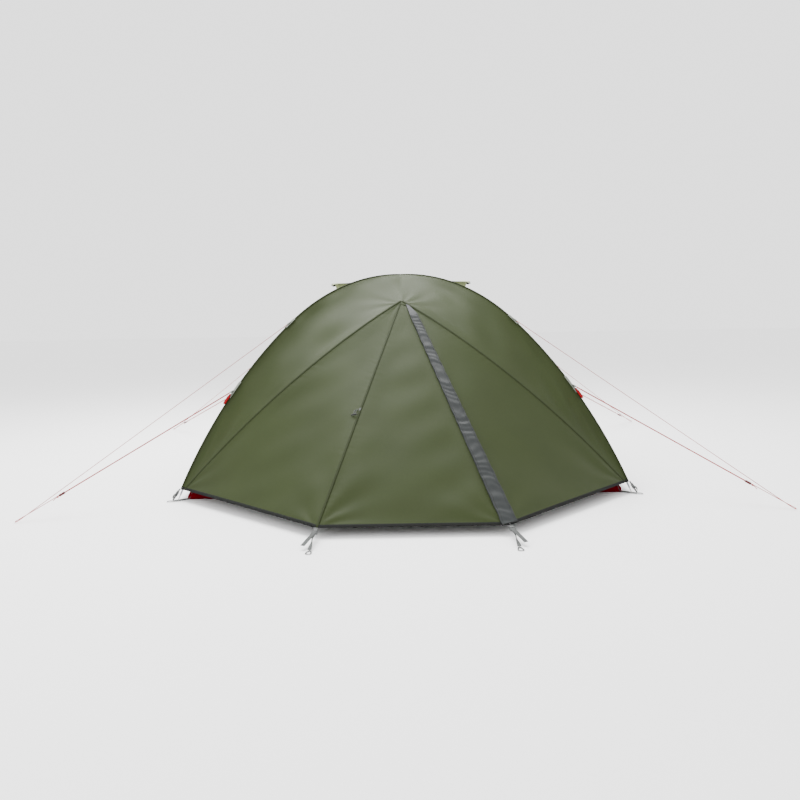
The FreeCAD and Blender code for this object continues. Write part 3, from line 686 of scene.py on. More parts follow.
lamp("overhead", (-0.7, 0.9, 4.2), (0, 0, 0.4), 3.4, 520)
lamp("front_fill", (-3.4, -4.6, 2.6), (0, 0, 0.5), 3.0, 110)
world = bpy.data.worlds.new("studio")
world.use_nodes = True
world.node_tree.nodes["Background"].inputs["Color"].default_value = (1, 1, 1, 1)
world.node_tree.nodes["Background"].inputs["Strength"].default_value = 2.2
bpy.context.scene.world = world

floor_mesh = bpy.data.meshes.new("floor")
reach = 30.0
floor_mesh.from_pydata([(-reach, -reach, 0), (reach, -reach, 0), (reach, reach, 0),
                        (-reach, reach, 0)], [], [(0, 1, 2, 3)])
floor = bpy.data.objects.new("floor", floor_mesh)
bpy.context.collection.objects.link(floor)
floor_finish = Finish("floor_white", 0.9)
floor_finish.colour(floor_finish.blend(
    floor_finish.noise(floor_finish.coordinates("Object"), 0.6), (0.93, 0.93, 0.93, 1),
    (0.96, 0.96, 0.96, 1)))
floor_mesh.materials.append(floor_finish.material)

# ---- guylines ------------------------------------------------------------------------
# Each line runs from the upper tab to the peg, round it, up through the runner, through
# the lower tab's loop and back down through the runner to a stopper knot.
GUY_ROUTES = {
    "front": [(-0.6195, -0.4373, 0.8698), (-1.7454, -1.1827, 0.0231), (-1.7740, -1.2025, 0.0050),
              (-1.7860, -1.1841, 0.0050), (-1.7548, -1.1654, 0.0204), (-0.9192, -0.6411, 0.5159),
              (-0.9047, -0.6307, 0.5249), (-0.8976, -0.6416, 0.5249), (-0.9132, -0.6503, 0.5159),
              (-1.6194, -1.0934, 0.0971)],
    "rear": [(-0.6171, 0.4430, 0.8729), (-1.8514, 1.7053, 0.0199), (-1.8764, 1.7320, 0.0050),
             (-1.8920, 1.7165, 0.0050), (-1.8656, 1.6894, 0.0166), (-0.9139, 0.6531, 0.5217),
             (-0.9019, 0.6385, 0.5285), (-0.8927, 0.6477, 0.5285), (-0.9061, 0.6609, 0.5217),
             (-1.7489, 1.5786, 0.0744)],
}


def spline_points(route):
    """The points of a smooth line that has the route's points as its control points."""
    curve = bpy.data.curves.new("route", "CURVE")
    curve.dimensions = "3D"
    spline = curve.splines.new("NURBS")
    spline.points.add(len(route) - 1)
    for point, at in zip(spline.points, route):
        point.co = (*at, 1.0)
    spline.order_u = 3
    spline.use_endpoint_u = True
    spline.resolution_u = 16
    holder = bpy.data.objects.new("route", curve)
    line = bpy.data.meshes.new_from_object(holder)
    points = np.array([v.co for v in line.vertices])
    bpy.data.objects.remove(holder)
    bpy.data.meshes.remove(line)
    bpy.data.curves.remove(curve)
    return points


def stopper_knot(at, way, across):
    """An overhand knot: a tube round a trefoil, x = sin t + 2 sin 2t, y = cos t - 2 cos 2t,
    z = -sin 3t, and the short tail left beyond it."""
    shape = Shape()
    t = np.arange(48) * 2 * math.pi / 48
    local = 0.00135 * np.stack([np.sin(t) + 2 * np.sin(2 * t), np.cos(t) - 2 * np.cos(2 * t),
                                -np.sin(3 * t)], 1)
    third = np.cross(way, across)
    path = at + local[:, :1] * across + local[:, 1:2] * third + local[:, 2:] * way * 1.4
    along = unit(np.roll(path, -1, 0) - np.roll(path, 1, 0))
    out = unit(path - at + way * 1e-4)
    side = unit(np.cross(along, out))
    sweep(shape, path, side, unit(np.cross(side, along)), circle(CORD_R, 8), closed=True)
    t = np.linspace(0, 1, 10)
    tail = at + way * (0.003 + 0.020 * t)[:, None] + across * (0.004 * t ** 2)[:, None] \
        - UP * (0.006 * t ** 2)[:, None]
    tube(shape, tail, CORD_R, 8, third)
    return shape


def runner_shape(at, strand, side):
    """Two barrels on the cord joined by a ribbed waist: each barrel is a ring of sections
    turned about its own strand."""
    shape = Shape()
    out = np.cross(strand, side)
    turn = np.linspace(0, 2 * math.pi, 24, endpoint=False)
    outline = np.array([(-1, 2.4), (-0.97, 3.6), (-0.85, 4.3), (-0.5, 4.5), (0, 4.1), (0.5, 4.5),
                        (0.85, 4.3), (0.97, 3.6), (1, 2.4), (0.7, 2.1), (0, 2.05), (-0.7, 2.1)])
    along = outline[:, 0] * RUNNER_L / 2 * 0.98
    radius = outline[:, 1] * 0.001
    for shift in (-1, 1):
        centre = at + side * (shift * (TAB_LOOP - 0.001))
        ring = (np.cos(turn)[:, None] * side + np.sin(turn)[:, None] * out)
        profile = np.stack([radius, along], 1)
        path = np.broadcast_to(centre, ring.shape)
        sweep(shape, path, ring, np.broadcast_to(strand, ring.shape), profile, closed=True)
    t = np.linspace(-1, 1, 13)
    waist = at + strand * (t * RUNNER_L * 0.42)[:, None]
    thick = 1 + 0.18 * np.cos(t * 9 * math.pi)
    sweep(shape, waist, np.broadcast_to(side, waist.shape), np.broadcast_to(out, waist.shape),
          flat_profile(0.0062, 0.0044), np.stack([np.ones(13), thick], 1))
    return shape


for end in ENDS:
    for side_name in SIDES:
        flip = np.array([1 if side_name == "left" else -1, 1, 1])
        route = np.array(GUY_ROUTES[end]) * flip
        line = spline_points(route)
        shape = Shape()
        tube(shape, line, CORD_R, 8)
        tag = "%s_%s" % (end, side_name)
        cord = shape.piece("guy_cord_" + tag, CORD, "tent", "guy_cord", ["guyline_" + tag])
        last = unit(route[-1] - route[-2])
        across = unit(np.cross(last, UP))
        knot = stopper_knot(route[-1] + last * 0.0036, last, across) \
            .piece("guy_knot_" + tag, CORD, "tent", "guy_cord", ["guyline_knots"])
        strand = unit(route[5] - route[4])
        beside = unit(route[9] - route[8])
        foot = route[4] + strand * RUNNER_AT
        other = route[8] + beside * (foot - route[8]).dot(beside)
        runner_shape((foot + other) / 2, strand, unit(foot - other)) \
            .piece("guy_runner_" + tag, RUNNER, "runner_" + tag, "clip_plastic", ["runner_" + tag])

# ---- cloth panels --------------------------------------------------------------------
CLOTH = 0.0006


def taut(p, share, rounds=500):
    """A panel drawn towards the even membrane that its edges would hold: each inner point
    moves to the mean of its four neighbours, over and over, and share of that is taken."""
    q = p.copy()
    for _ in range(rounds):
        q[1:-1, 1:-1] = (q[:-2, 1:-1] + q[2:, 1:-1] + q[1:-1, :-2] + q[1:-1, 2:]) / 4
    return p + share * (q - p)


def puckered(p, seed, creases=(), swell=0.0015, edges=(1, 1, 1, 1), gather=0.0008,
             pitch=0.030):
    """A panel with the small unevenness of sewn cloth.  Long low waves swell over it; along
    each edge the seam draws it into short puckers, a sine along the edge that dies away
    from it; creases are (corner, height, reach, count) fans of tension folds."""
    uv = cloth_uv(p)
    u, v = uv[..., 0], uv[..., 1]
    near = from_edges(p)
    rest = np.minimum.reduce(near)
    lift = swell * waves(u, v, seed, 9, 0.18, 0.7) * smooth(rest / 0.10)
    runs = (v, v, u, u)
    for k, (use, away, run) in enumerate(zip(edges, near, runs)):
        if use:
            phase = 2.5 * waves(run, 0 * run, seed + 10 + k, 5, 0.08, 0.3)
            fade = 0.55 + 0.45 * waves(run, 0 * run, seed + 20 + k, 4, 0.15, 0.5)
            lift += (use * gather * fade * np.sin(2 * math.pi * run / pitch + phase)
                     * np.exp(-away / 0.028) * smooth(rest / 0.012))
    n = normals(p)
    first = unit(p[-1, -1] - p[0, 0])
    square = n.reshape(-1, 3).mean(0)
    second = unit(np.cross(square, first))
    for corner, height, reach_out, count in creases:
        away = p - corner
        far = np.linalg.norm(away, axis=2)
        turn = np.arctan2(away @ second, away @ first)
        fold = np.sin(turn * count + 1.3 * np.sin(far * 9 + seed))
        lift += height * fold * smooth(far / 0.05) * np.exp(-far / reach_out) * smooth(rest / 0.03)
    return p + n * lift[..., None]


def outward(p, towards):
    """Whether the grid's faces already look the way of towards."""
    return normals(p)[p.shape[0] // 2, p.shape[1] // 2] @ towards > 0


def panel(name, p, material, body, slot, stands_for, towards, thick=CLOTH, keep=None, move=None):
    shape = Shape()
    shape.grid(p, keep=keep, back=not outward(p, np.asarray(towards, float)))
    return shape.piece(name, material, body, slot, stands_for, thick, move)


def seam(shape, thread, path, facing, width=0.011, height=0.0011, rows=(-0.0032, 0.0032),
         lift=0.0):
    """A felled seam: a low domed strip along a path with rows of stitches down it."""
    if np.ndim(facing) == 1:
        facing = np.broadcast_to(facing, path.shape)
    side, up = frame_of(path, facing)
    path = path + up * lift
    sweep(shape, path, side, up, domed_profile(width, height))
    for row in rows:
        stitches(thread, path + side * row + up * (height + 0.0002), up)


def hem(shape, thread, path, along_panel, out, width=0.016, thickness=0.0026):
    """A hem tape folded over a panel's edge, with a row of stitches; along_panel points from
    the edge into the panel."""
    inward = unit(np.broadcast_to(along_panel, path.shape))
    up = unit(np.broadcast_to(out, path.shape))
    middle = path + inward * (width / 2 - 0.002)
    sweep(shape, middle, inward, up, flat_profile(width, thickness, 2))
    stitches(thread, middle + inward * 0.004 + up * (thickness / 2 + 0.0002), up)


# ---- flysheet ------------------------------------------------------------------------
def arch_rows(offset, low_turn, start, rows):
    """Turns for a panel's rows, from a short way down from the crown to its lower edge."""
    return np.linspace(float(POLE_B.at_reach(start, offset)), low_turn, rows)


def end_grid(turns, columns, offset, sag, cut=None):
    """The panel over the right end: the arch pushed level across, in from both ridges by a
    small seam gap, and sagging inwards between the poles as a sine does."""
    s, z = POLE_B.point(turns, offset)
    half = np.maximum(UY * s - 0.0012, 0.001)
    w = np.linspace(-1, 1, columns)
    y = half[:, None] * w
    if cut is not None:
        inner = np.minimum(cut, 0.8 * half)[:, None]
        step = np.where(np.abs(w) <= 0.2, inner * np.abs(w) / 0.2,
                        inner + (half[:, None] - inner) * (np.abs(w) - 0.2) / 0.8)
        y = np.sign(w) * step
    x = np.broadcast_to((UX * s)[:, None], y.shape)
    p = np.stack([x, y, np.broadcast_to(z[:, None], y.shape)], 2)
    n = normals(p)
    n = n * np.sign(n[..., :1] + 1e-9)
    depth = sag * np.cos(w * math.pi / 2) * np.sin(np.linspace(0, math.pi, len(s)))[:, None] ** 0.7
    return p - n * depth[..., None]


vent_mid = float(POLE_B.at_reach((HOOD_HINGE_X + VENT_OUT) / UX, FLY_OUT))
vent_half = VENT_L / 2 / (SHOULDER_RADIUS + FLY_OUT)
VENT_TURNS = (vent_mid - vent_half, vent_mid + vent_half)
END_ROWS = np.sort(np.concatenate([arch_rows(FLY_OUT, HEM_TURN, 0.016, 120), VENT_TURNS]))

for side_name in SIDES:
    move = None if side_name == "right" else MIRROR
    p = end_grid(END_ROWS, 121, FLY_OUT, 0.014, VENT_W / 2)
    w = np.linspace(-1, 1, 121)
    row_in = (END_ROWS[:-1] >= VENT_TURNS[0] - 1e-6) & (END_ROWS[1:] <= VENT_TURNS[1] + 1e-6)
    col_in = (w[:-1] >= -0.2001) & (w[1:] <= 0.2001)
    seed = 11 if side_name == "right" else 12
    p = puckered(p, seed, [(p[-1, 0], 0.0022, 0.30, 13), (p[-1, -1], 0.0022, 0.30, 13)],
                 swell=0.0022)
    panel("fly_end_cloth_" + side_name, p, FLY, "tent", "fly_fabric", ["fly_end_" + side_name],
          RIGHT, keep=~(row_in[:, None] & col_in[None]), move=move)
    tape, thread = Shape(), Shape()
    hem(tape, thread, p[-1], p[-2] - p[-1], normals(p)[-1] * np.sign(normals(p)[-1, :, :1]))
    tape.piece("fly_end_hem_" + side_name, HEM, "tent", "webbing", move=move)
    thread.piece("fly_end_stitching_" + side_name, THREAD, "tent", "fly_fabric", move=move)


def roof_grid(rows, columns):
    """The gore over the front: straight lines from the ridges to the brow seam on both
    halves, drawn towards the even membrane so that its middle has no crease."""
    side = np.linspace(-1, 1, columns)
    t = np.abs(side)
    top = np.where((side < 0)[:, None], ridge(-1, t), ridge(1, t)) - [0, 0.0012, 0]
    low = np.where((side < 0)[:, None], brow(-1, t), brow(1, t))
    v = np.linspace(0, 1, rows)
    ruled = top[None] * (1 - v)[:, None, None] + low[None] * v[:, None, None]
    return taut(ruled, 0.55, 900)


def left_seam(t):
    top = on_door(LEFT_HEM[0] * 0.020 / DOOR_FALL - 0.0012, 0.020)
    return mix(top, LEFT_HEM - [0.0012, 0, 0], t)


def zip_edge(t, left):
    return mix(by_zip(0.0, left), by_zip(ZIP_L, left), t)


ROOF = roof_grid(90, 221)
LEFT_PORCH = taut(mix(brow(-1, np.linspace(0, 1, 151)), left_seam(np.linspace(0, 1, 151)),
                      np.broadcast_to(np.linspace(0, 1, 81)[:, None], (81, 151))), 0.35)
RIGHT_PORCH = taut(mix(brow(1, np.linspace(0, 1, 151)),
                       zip_edge(np.linspace(0, 1, 151), -CHAIN_HALF),
                       np.broadcast_to(np.linspace(0, 1, 81)[:, None], (81, 151))), 0.35)


def door_grid(rows, columns):
    """The door: flat between the left seam and the zip, from its cut top to the hem."""
    top = np.stack([on_door(LEFT_HEM[0] * 0.030 / DOOR_FALL + 0.0015, 0.030),
                    by_zip(0.0, CHAIN_HALF)])
    low = np.stack([LEFT_HEM + [0.0015, 0, 0], by_zip(ZIP_L, CHAIN_HALF)])
    u, v = np.linspace(0, 1, columns), np.linspace(0, 1, rows)
    return mix(mix(top[0], top[1], u)[None], mix(low[0], low[1], u)[None],
               np.broadcast_to(v[:, None], (rows, columns)))


DOOR = door_grid(150, 81)

for number, end in enumerate(ENDS):
    move = None if end == "front" else HALF_TURN
    seed = 40 + 50 * number
    roof = puckered(ROOF, seed, [(PORCH_APEX, 0.0028, 0.20, 9)], swell=0.0022)
    panel("fly_roof_cloth_" + end, roof, FLY, "tent", "fly_fabric", ["fly_roof_" + end],
          (0, -0.4, 1), move=move)
    left = puckered(LEFT_PORCH, seed + 1, [(LEFT_HEM, 0.0035, 0.34, 9),
                                           (BROW_FOOT, 0.0032, 0.30, 11),
                                           (PORCH_APEX, 0.0025, 0.25, 12)])
    panel("porch_cloth_left_" + end, left, FLY, "tent", "fly_fabric", ["porch_left_" + end],
          (-1, -1, 1), move=move)
    right = puckered(RIGHT_PORCH, seed + 2, [(RIGHT_HEM, 0.0035, 0.34, 9),
                                             (BROW_FOOT * [-1, 1, 1], 0.0034, 0.32, 11),
                                             (PORCH_APEX, 0.0025, 0.25, 12)])
    panel("porch_cloth_right_" + end, right, FLY, "tent", "fly_fabric", ["porch_right_" + end],
          (1, -1, 1), move=move)
    door = puckered(DOOR, seed + 3, [(LEFT_HEM, 0.0030, 0.36, 11), (RIGHT_HEM, 0.0028, 0.30, 11)],
                    swell=0.0016, gather=0.0006)
    panel("door_cloth_" + end, door, FLY, "door_" + end, "fly_fabric", ["door_" + end],
          DOOR_OUT, move=move)

    # seams: the brow, the two ridges, and the seam that the door hangs from
    strip, thread = Shape(), Shape()
    t = np.linspace(0.004, 0.999, 160)
    for side in (-1, 1):
        facing = unit(np.array([0.55 * side, -0.75, 0.75])
                      * mix(np.array([0.2, 1, 1.1]), np.array([1, 1, 0.7]), t))
        seam(strip, thread, brow(side, t), facing, lift=0.0006)
        facing = unit(ridge(side, t, 0.020) - ridge(side, t, 0.0))
        seam(strip, thread, ridge(side, t, FLY_OUT), facing, width=0.013, lift=0.0003)
    seam(strip, thread, left_seam(np.linspace(0.0, 1, 120)),
         unit(DOOR_OUT + np.array([-0.35, 0, 0.1])), lift=0.0003)
    strip.piece("fly_seams_" + end, SEAM, "tent", "fly_fabric", move=move)
    thread.piece("fly_stitching_" + end, THREAD, "tent", "fly_fabric", move=move)

    # hem tape, on the fixed panels and on the door
    tape, thread = Shape(), Shape()
    for p in (left, right):
        hem(tape, thread, p[:, -1], p[:, -2] - p[:, -1], unit(np.cross(
            p[-1, -1] - p[0, -1], UP)) * np.sign(np.cross(p[-1, -1] - p[0, -1], UP)[1]) * -1)
    hem(tape, thread, np.concatenate([roof[:, 0]]), roof[:, 1] - roof[:, 0], (-0.6, -0.6, 0.3))
    hem(tape, thread, np.concatenate([roof[:, -1]]), roof[:, -2] - roof[:, -1], (0.6, -0.6, 0.3))
    tape.piece("porch_hem_" + end, HEM, "tent", "webbing", move=move)
    thread.piece("porch_hem_stitching_" + end, THREAD, "tent", "fly_fabric", move=move)
    tape, thread = Shape(), Shape()
    hem(tape, thread, door[-1], door[-2] - door[-1], DOOR_OUT)
    tape.piece("door_hem_" + end, HEM, "door_" + end, "webbing", move=move)
    thread.piece("door_hem_stitching_" + end, THREAD, "door_" + end, "fly_fabric", move=move)

# ---- top of the door, storm flap and zip ---------------------------------------------
def filled(corners, rows, columns):
    """A flat four-cornered patch: top left, top right, bottom left, bottom right."""
    a, b, c, d = (np.asarray(x, float) for x in corners)
    u, v = np.linspace(0, 1, columns), np.linspace(0, 1, rows)
    return mix(mix(a, b, u)[None], mix(c, d, u)[None],
               np.broadcast_to(v[:, None], (rows, columns)))


TOOTH = np.array([(x, y, z) for x in (-1, 1) for y in (-1, 1) for z in (-1, 1)], float)
TOOTH_FACES = np.array([(0, 1, 3, 2), (4, 6, 7, 5), (0, 4, 5, 1), (2, 3, 7, 6), (0, 2, 6, 4),
                        (1, 5, 7, 3)])


def flap_grid(rows, columns):
    """The storm flap: a strip widening down the zip, crowned across, and drawn into soft
    cross puckers by its stitching, with ridges about 0.1 m apart and smaller ones between."""
    along = np.linspace(FLAP_TOP, ZIP_L - 0.001, rows)
    share = (along - FLAP_TOP) / (ZIP_L - FLAP_TOP)
    half = 0.020 + (FLAP_WIDTH / 2 - 0.020) * share
    w = np.linspace(1, -1, columns)
    left = half[:, None] * w
    run = np.broadcast_to(along[:, None], left.shape)
    slant = run + 0.012 * w[None]
    big = np.sin(2 * math.pi * slant / 0.098 + 1.5 * waves(run, left, 5, 5, 0.2, 0.5))
    small = np.sin(2 * math.pi * slant / 0.041 + 2.0 * waves(run, left, 6, 5, 0.1, 0.3))
    across = 1 - 0.55 * w[None] ** 2
    edge = smooth((along - FLAP_TOP) / 0.03)[:, None] * smooth((ZIP_L - along) / 0.02)[:, None]
    lift = (0.0016 * big + 0.0008 * small) * across * edge + 0.0014 * (1 - w[None] ** 2)
    inwards = 0.0012 * big * edge * w[None]
    return by_zip(run, left - inwards, FLAP_RISE + 0.0016 + lift)


FLAP_GRID = flap_grid(360, 17)

for number, end in enumerate(ENDS):
    move = None if end == "front" else HALF_TURN
    # the small gusset that closes the porch over the door
    gusset = filled([PORCH_APEX + [-0.001, 0, 0], PORCH_APEX + [0.001, 0, 0],
                     on_door(LEFT_HEM[0] * 0.0285 / DOOR_FALL, 0.0285),
                     by_zip(-0.0015, -CHAIN_HALF)], 12, 8)
    panel("apex_gusset_" + end, gusset, FLY, "tent", "fly_fabric", (), DOOR_OUT, move=move)
    # the pale pointed top of the flap, sewn to the door and rising to the flap's height
    t = np.linspace(0, 1, 24)
    half = 0.0012 + 0.0195 * t ** 0.9
    w = np.linspace(1, -1, 11)
    rise = 0.0022 + (FLAP_RISE - 0.0012) * smooth(t * 1.1)
    tip = by_zip((-0.046 + 0.118 * t)[:, None] + 0 * w, half[:, None] * w
                 + 0.010 * (1 - t)[:, None],
                 rise[:, None] + 0.0016 * (1 - w ** 2) * t[:, None])
    panel("flap_tip_" + end, tip, TIP, "door_" + end, "flap_fabric", (), DOOR_OUT, 0.0010,
          move=move)
    panel("storm_flap_cloth_" + end, FLAP_GRID, FLAP, "flap_" + end, "flap_fabric",
          ["storm_flap_" + end], DOOR_OUT, 0.0008, move=move)
    edge, thread = Shape(), Shape()
    for column in (0, -1):
        path = FLAP_GRID[:, column] + ZIP_LEFT * (-0.0012 if column == 0 else 0.0012)
        side, up = frame_of(path, DOOR_OUT)
        sweep(edge, path, side, up, flat_profile(0.0042, 0.0022, 2))
        inner = FLAP_GRID[:, 2 if column == 0 else -3]
        stitches(thread, inner + DOOR_OUT * 0.0004, DOOR_OUT)
    edge.piece("flap_binding_" + end, FLAP, "flap_" + end, "flap_fabric", move=move)
    thread.piece("flap_stitching_" + end, THREAD, "flap_" + end, "flap_fabric", move=move)
    # the strip that joins the flap's left edge to the door
    t = np.linspace(0, 1, 80)
    along = FLAP_TOP + (ZIP_L - 0.002 - FLAP_TOP) * t
    left = 0.020 + (FLAP_WIDTH / 2 - 0.020) * t
    rows = np.linspace(0, 1, 5)
    riser = by_zip(along[:, None] + 0 * rows, left[:, None] - 0.0035 * rows,
                   0.0004 + (FLAP_RISE - 0.0012) * smooth(rows))
    panel("flap_riser_" + end, riser, FLAP, "door_" + end, "flap_fabric", (), ZIP_LEFT, 0.0008,
          move=move)

    # zip tapes with their coils: hooked loops every 3 mm, half on each tape
    for half_name, sign, body in (("fixed", -1, "tent"), ("door", 1, "door_" + end)):
        shape = Shape()
        path = by_zip(np.linspace(0.004, ZIP_L - 0.004, 120), 0 * np.linspace(0, 1, 120)
                      + sign * 0.0040, -0.0006)
        side, up = frame_of(path, DOOR_OUT)
        sweep(shape, path, side, up, flat_profile(0.0038, 0.0010, 2))
        at = np.arange(0.006, ZIP_L - 0.006, 0.003) + (0.0015 if sign > 0 else 0)
        centre = by_zip(at, sign * 0.0017, -0.0006)
        frames = [np.broadcast_to(x, centre.shape) for x in (ZIP_WAY, ZIP_LEFT, DOOR_OUT)]
        shape.copies(TOOTH * [0.0008, 0.0014, 0.0009], TOOTH_FACES, (centre, *frames))
        name = "zip_%s_half_%s" % (half_name, end)
        shape.piece("zip_coil_%s_%s" % (half_name, end), ZIP, body, "zip_plastic", [name],
                    move=move)
    # slider: a shield over the coil, a bridge, and a puller
    shape = Shape()
    at = ZIP_L - 0.040
    path = by_zip(np.linspace(at, at + 0.014, 8), -0.0029, 0.0017)
    wide = 1 + 0.25 * np.sin(np.linspace(0, math.pi, 8))
    side, up = frame_of(path, DOOR_OUT)
    sweep(shape, path, side, up, flat_profile(0.0044, 0.0018), np.stack([wide, wide ** 0], 1))
    t = np.linspace(0, math.pi, 12)
    bridge = by_zip(at + 0.007 - 0.004 * np.cos(t), -0.0029, 0.0026 + 0.0024 * np.sin(t))
    tube(shape, bridge, 0.0006, 6, ZIP_LEFT)
    path = by_zip(np.linspace(at + 0.008, at + 0.036, 14), -0.0031, 0.0048)
    wide = 0.75 + 0.35 * smooth(np.linspace(0, 1, 14)) - 0.2 * smooth(np.linspace(-4, 1, 14))
    side, up = frame_of(path, DOOR_OUT)
    sweep(shape, path, side, up, flat_profile(0.0042, 0.0013), np.stack([wide, wide ** 0], 1))
    shape.piece("zip_slider_metal_" + end, STEEL, "slider_" + end, "slider_metal",
                ["zip_slider_" + end], move=move)

    # tie-back: an elastic loop and a toggle on the left seam
    seam_way = unit(LEFT_HEM - PORCH_APEX)
    out = unit(np.cross(BROW_FOOT - PORCH_APEX, LEFT_HEM - PORCH_APEX))
    out = out * np.sign(out[2])
    base = PORCH_APEX + (LEFT_HEM - PORCH_APEX) * 0.545
    aside = unit(np.cross(seam_way, out))
    aside = aside * -np.sign(aside[0])
    root = base + aside * 0.018 + out * 0.013
    shape = Shape()
    t = np.linspace(0, 2 * math.pi, 40, endpoint=False)
    ring = (root + seam_way * (0.022 - 0.021 * np.cos(t))[:, None]
            + aside * (0.0055 * np.sin(t) * (1 + 0.3 * np.cos(t)))[:, None]
            - out * (0.0105 * smooth(1 - (1 - np.cos(t)) * 1.2))[:, None])
    along = unit(np.roll(ring, -1, 0) - np.roll(ring, 1, 0))
    side = unit(np.cross(along, out))
    sweep(shape, ring, side, unit(np.cross(side, along)), circle(0.0014, 7), closed=True)
    patch = base + aside * 0.010 + out * 0.0016 + seam_way * np.linspace(-0.006, 0.012, 6)[:, None]
    ribbon(shape, patch, out, 0.022, 0.0016)
    shape.piece("toggle_loop_" + end, WEBBING, "tent", "webbing", move=move)
    shape = Shape()
    t = np.linspace(-1, 1, 18)
    axis = root + seam_way * 0.044 + aside * (0.017 * t)[:, None]
    swell = np.sqrt(np.maximum(1 - np.abs(t) ** 6, 0.02)) * (0.78 + 0.22 * t ** 2)
    tube(shape, axis, 0.004, 12, out, np.stack([swell, swell], 1))
    shape.piece("toggle_bar_" + end, PLASTIC, "tent", "toggle_plastic", ["door_toggle_" + end],
                move=move)

# ---- roof vents ----------------------------------------------------------------------
hinge_turn = float(POLE_B.at_reach(HOOD_HINGE_X / UX, FLY_OUT))
HINGE = np.array([HOOD_HINGE_X, 0, float(POLE_B.point(hinge_turn, FLY_OUT)[1])])
DOWN = unit(np.array([UX * math.cos(hinge_turn), 0, -math.sin(hinge_turn)]))
OUT = np.array([-DOWN[2], 0, DOWN[0]])
HINGE = HINGE + OUT * 0.0016
HOOD_WAY = DOWN * math.cos(HOOD_OPEN) + OUT * math.sin(HOOD_OPEN)
HOOD_UP = OUT * math.cos(HOOD_OPEN) - DOWN * math.sin(HOOD_OPEN)


def hood_grid(rows, columns):
    """The vent's hood: widest at 0.7 of its length, narrowing to its hinge and its brim,
    crowned across, with a stiffened brim that turns down a little."""
    t = np.linspace(0, 1, rows)
    half = np.interp(t, [0, 0.7, 0.88, 1.0], [0.36, 0.5, 0.43, 0.30]) * HOOD_W
    w = np.linspace(-1, 1, columns)
    y = half[:, None] * w
    crown = 0.007 * (1 - w[None] ** 2) * np.sin(t * math.pi * 0.6)[:, None] * (0.4 + t)[:, None]
    brim = -0.004 * smooth((t - 0.8) / 0.2)[:, None] * (0.5 + w[None] ** 2)
    fold = 0.0008 * np.sin(w[None] * 9 + 3 * t[:, None]) * np.sin(t * math.pi)[:, None]
    along = 0.0012 + HOOD_L * t[:, None] - 0.010 * (t[:, None] > 0.999) * 0
    return (HINGE + HOOD_WAY * along[..., None] + np.array([0, 1, 0]) * y[..., None]
            + HOOD_UP * (0.0010 + crown + brim + fold)[..., None])


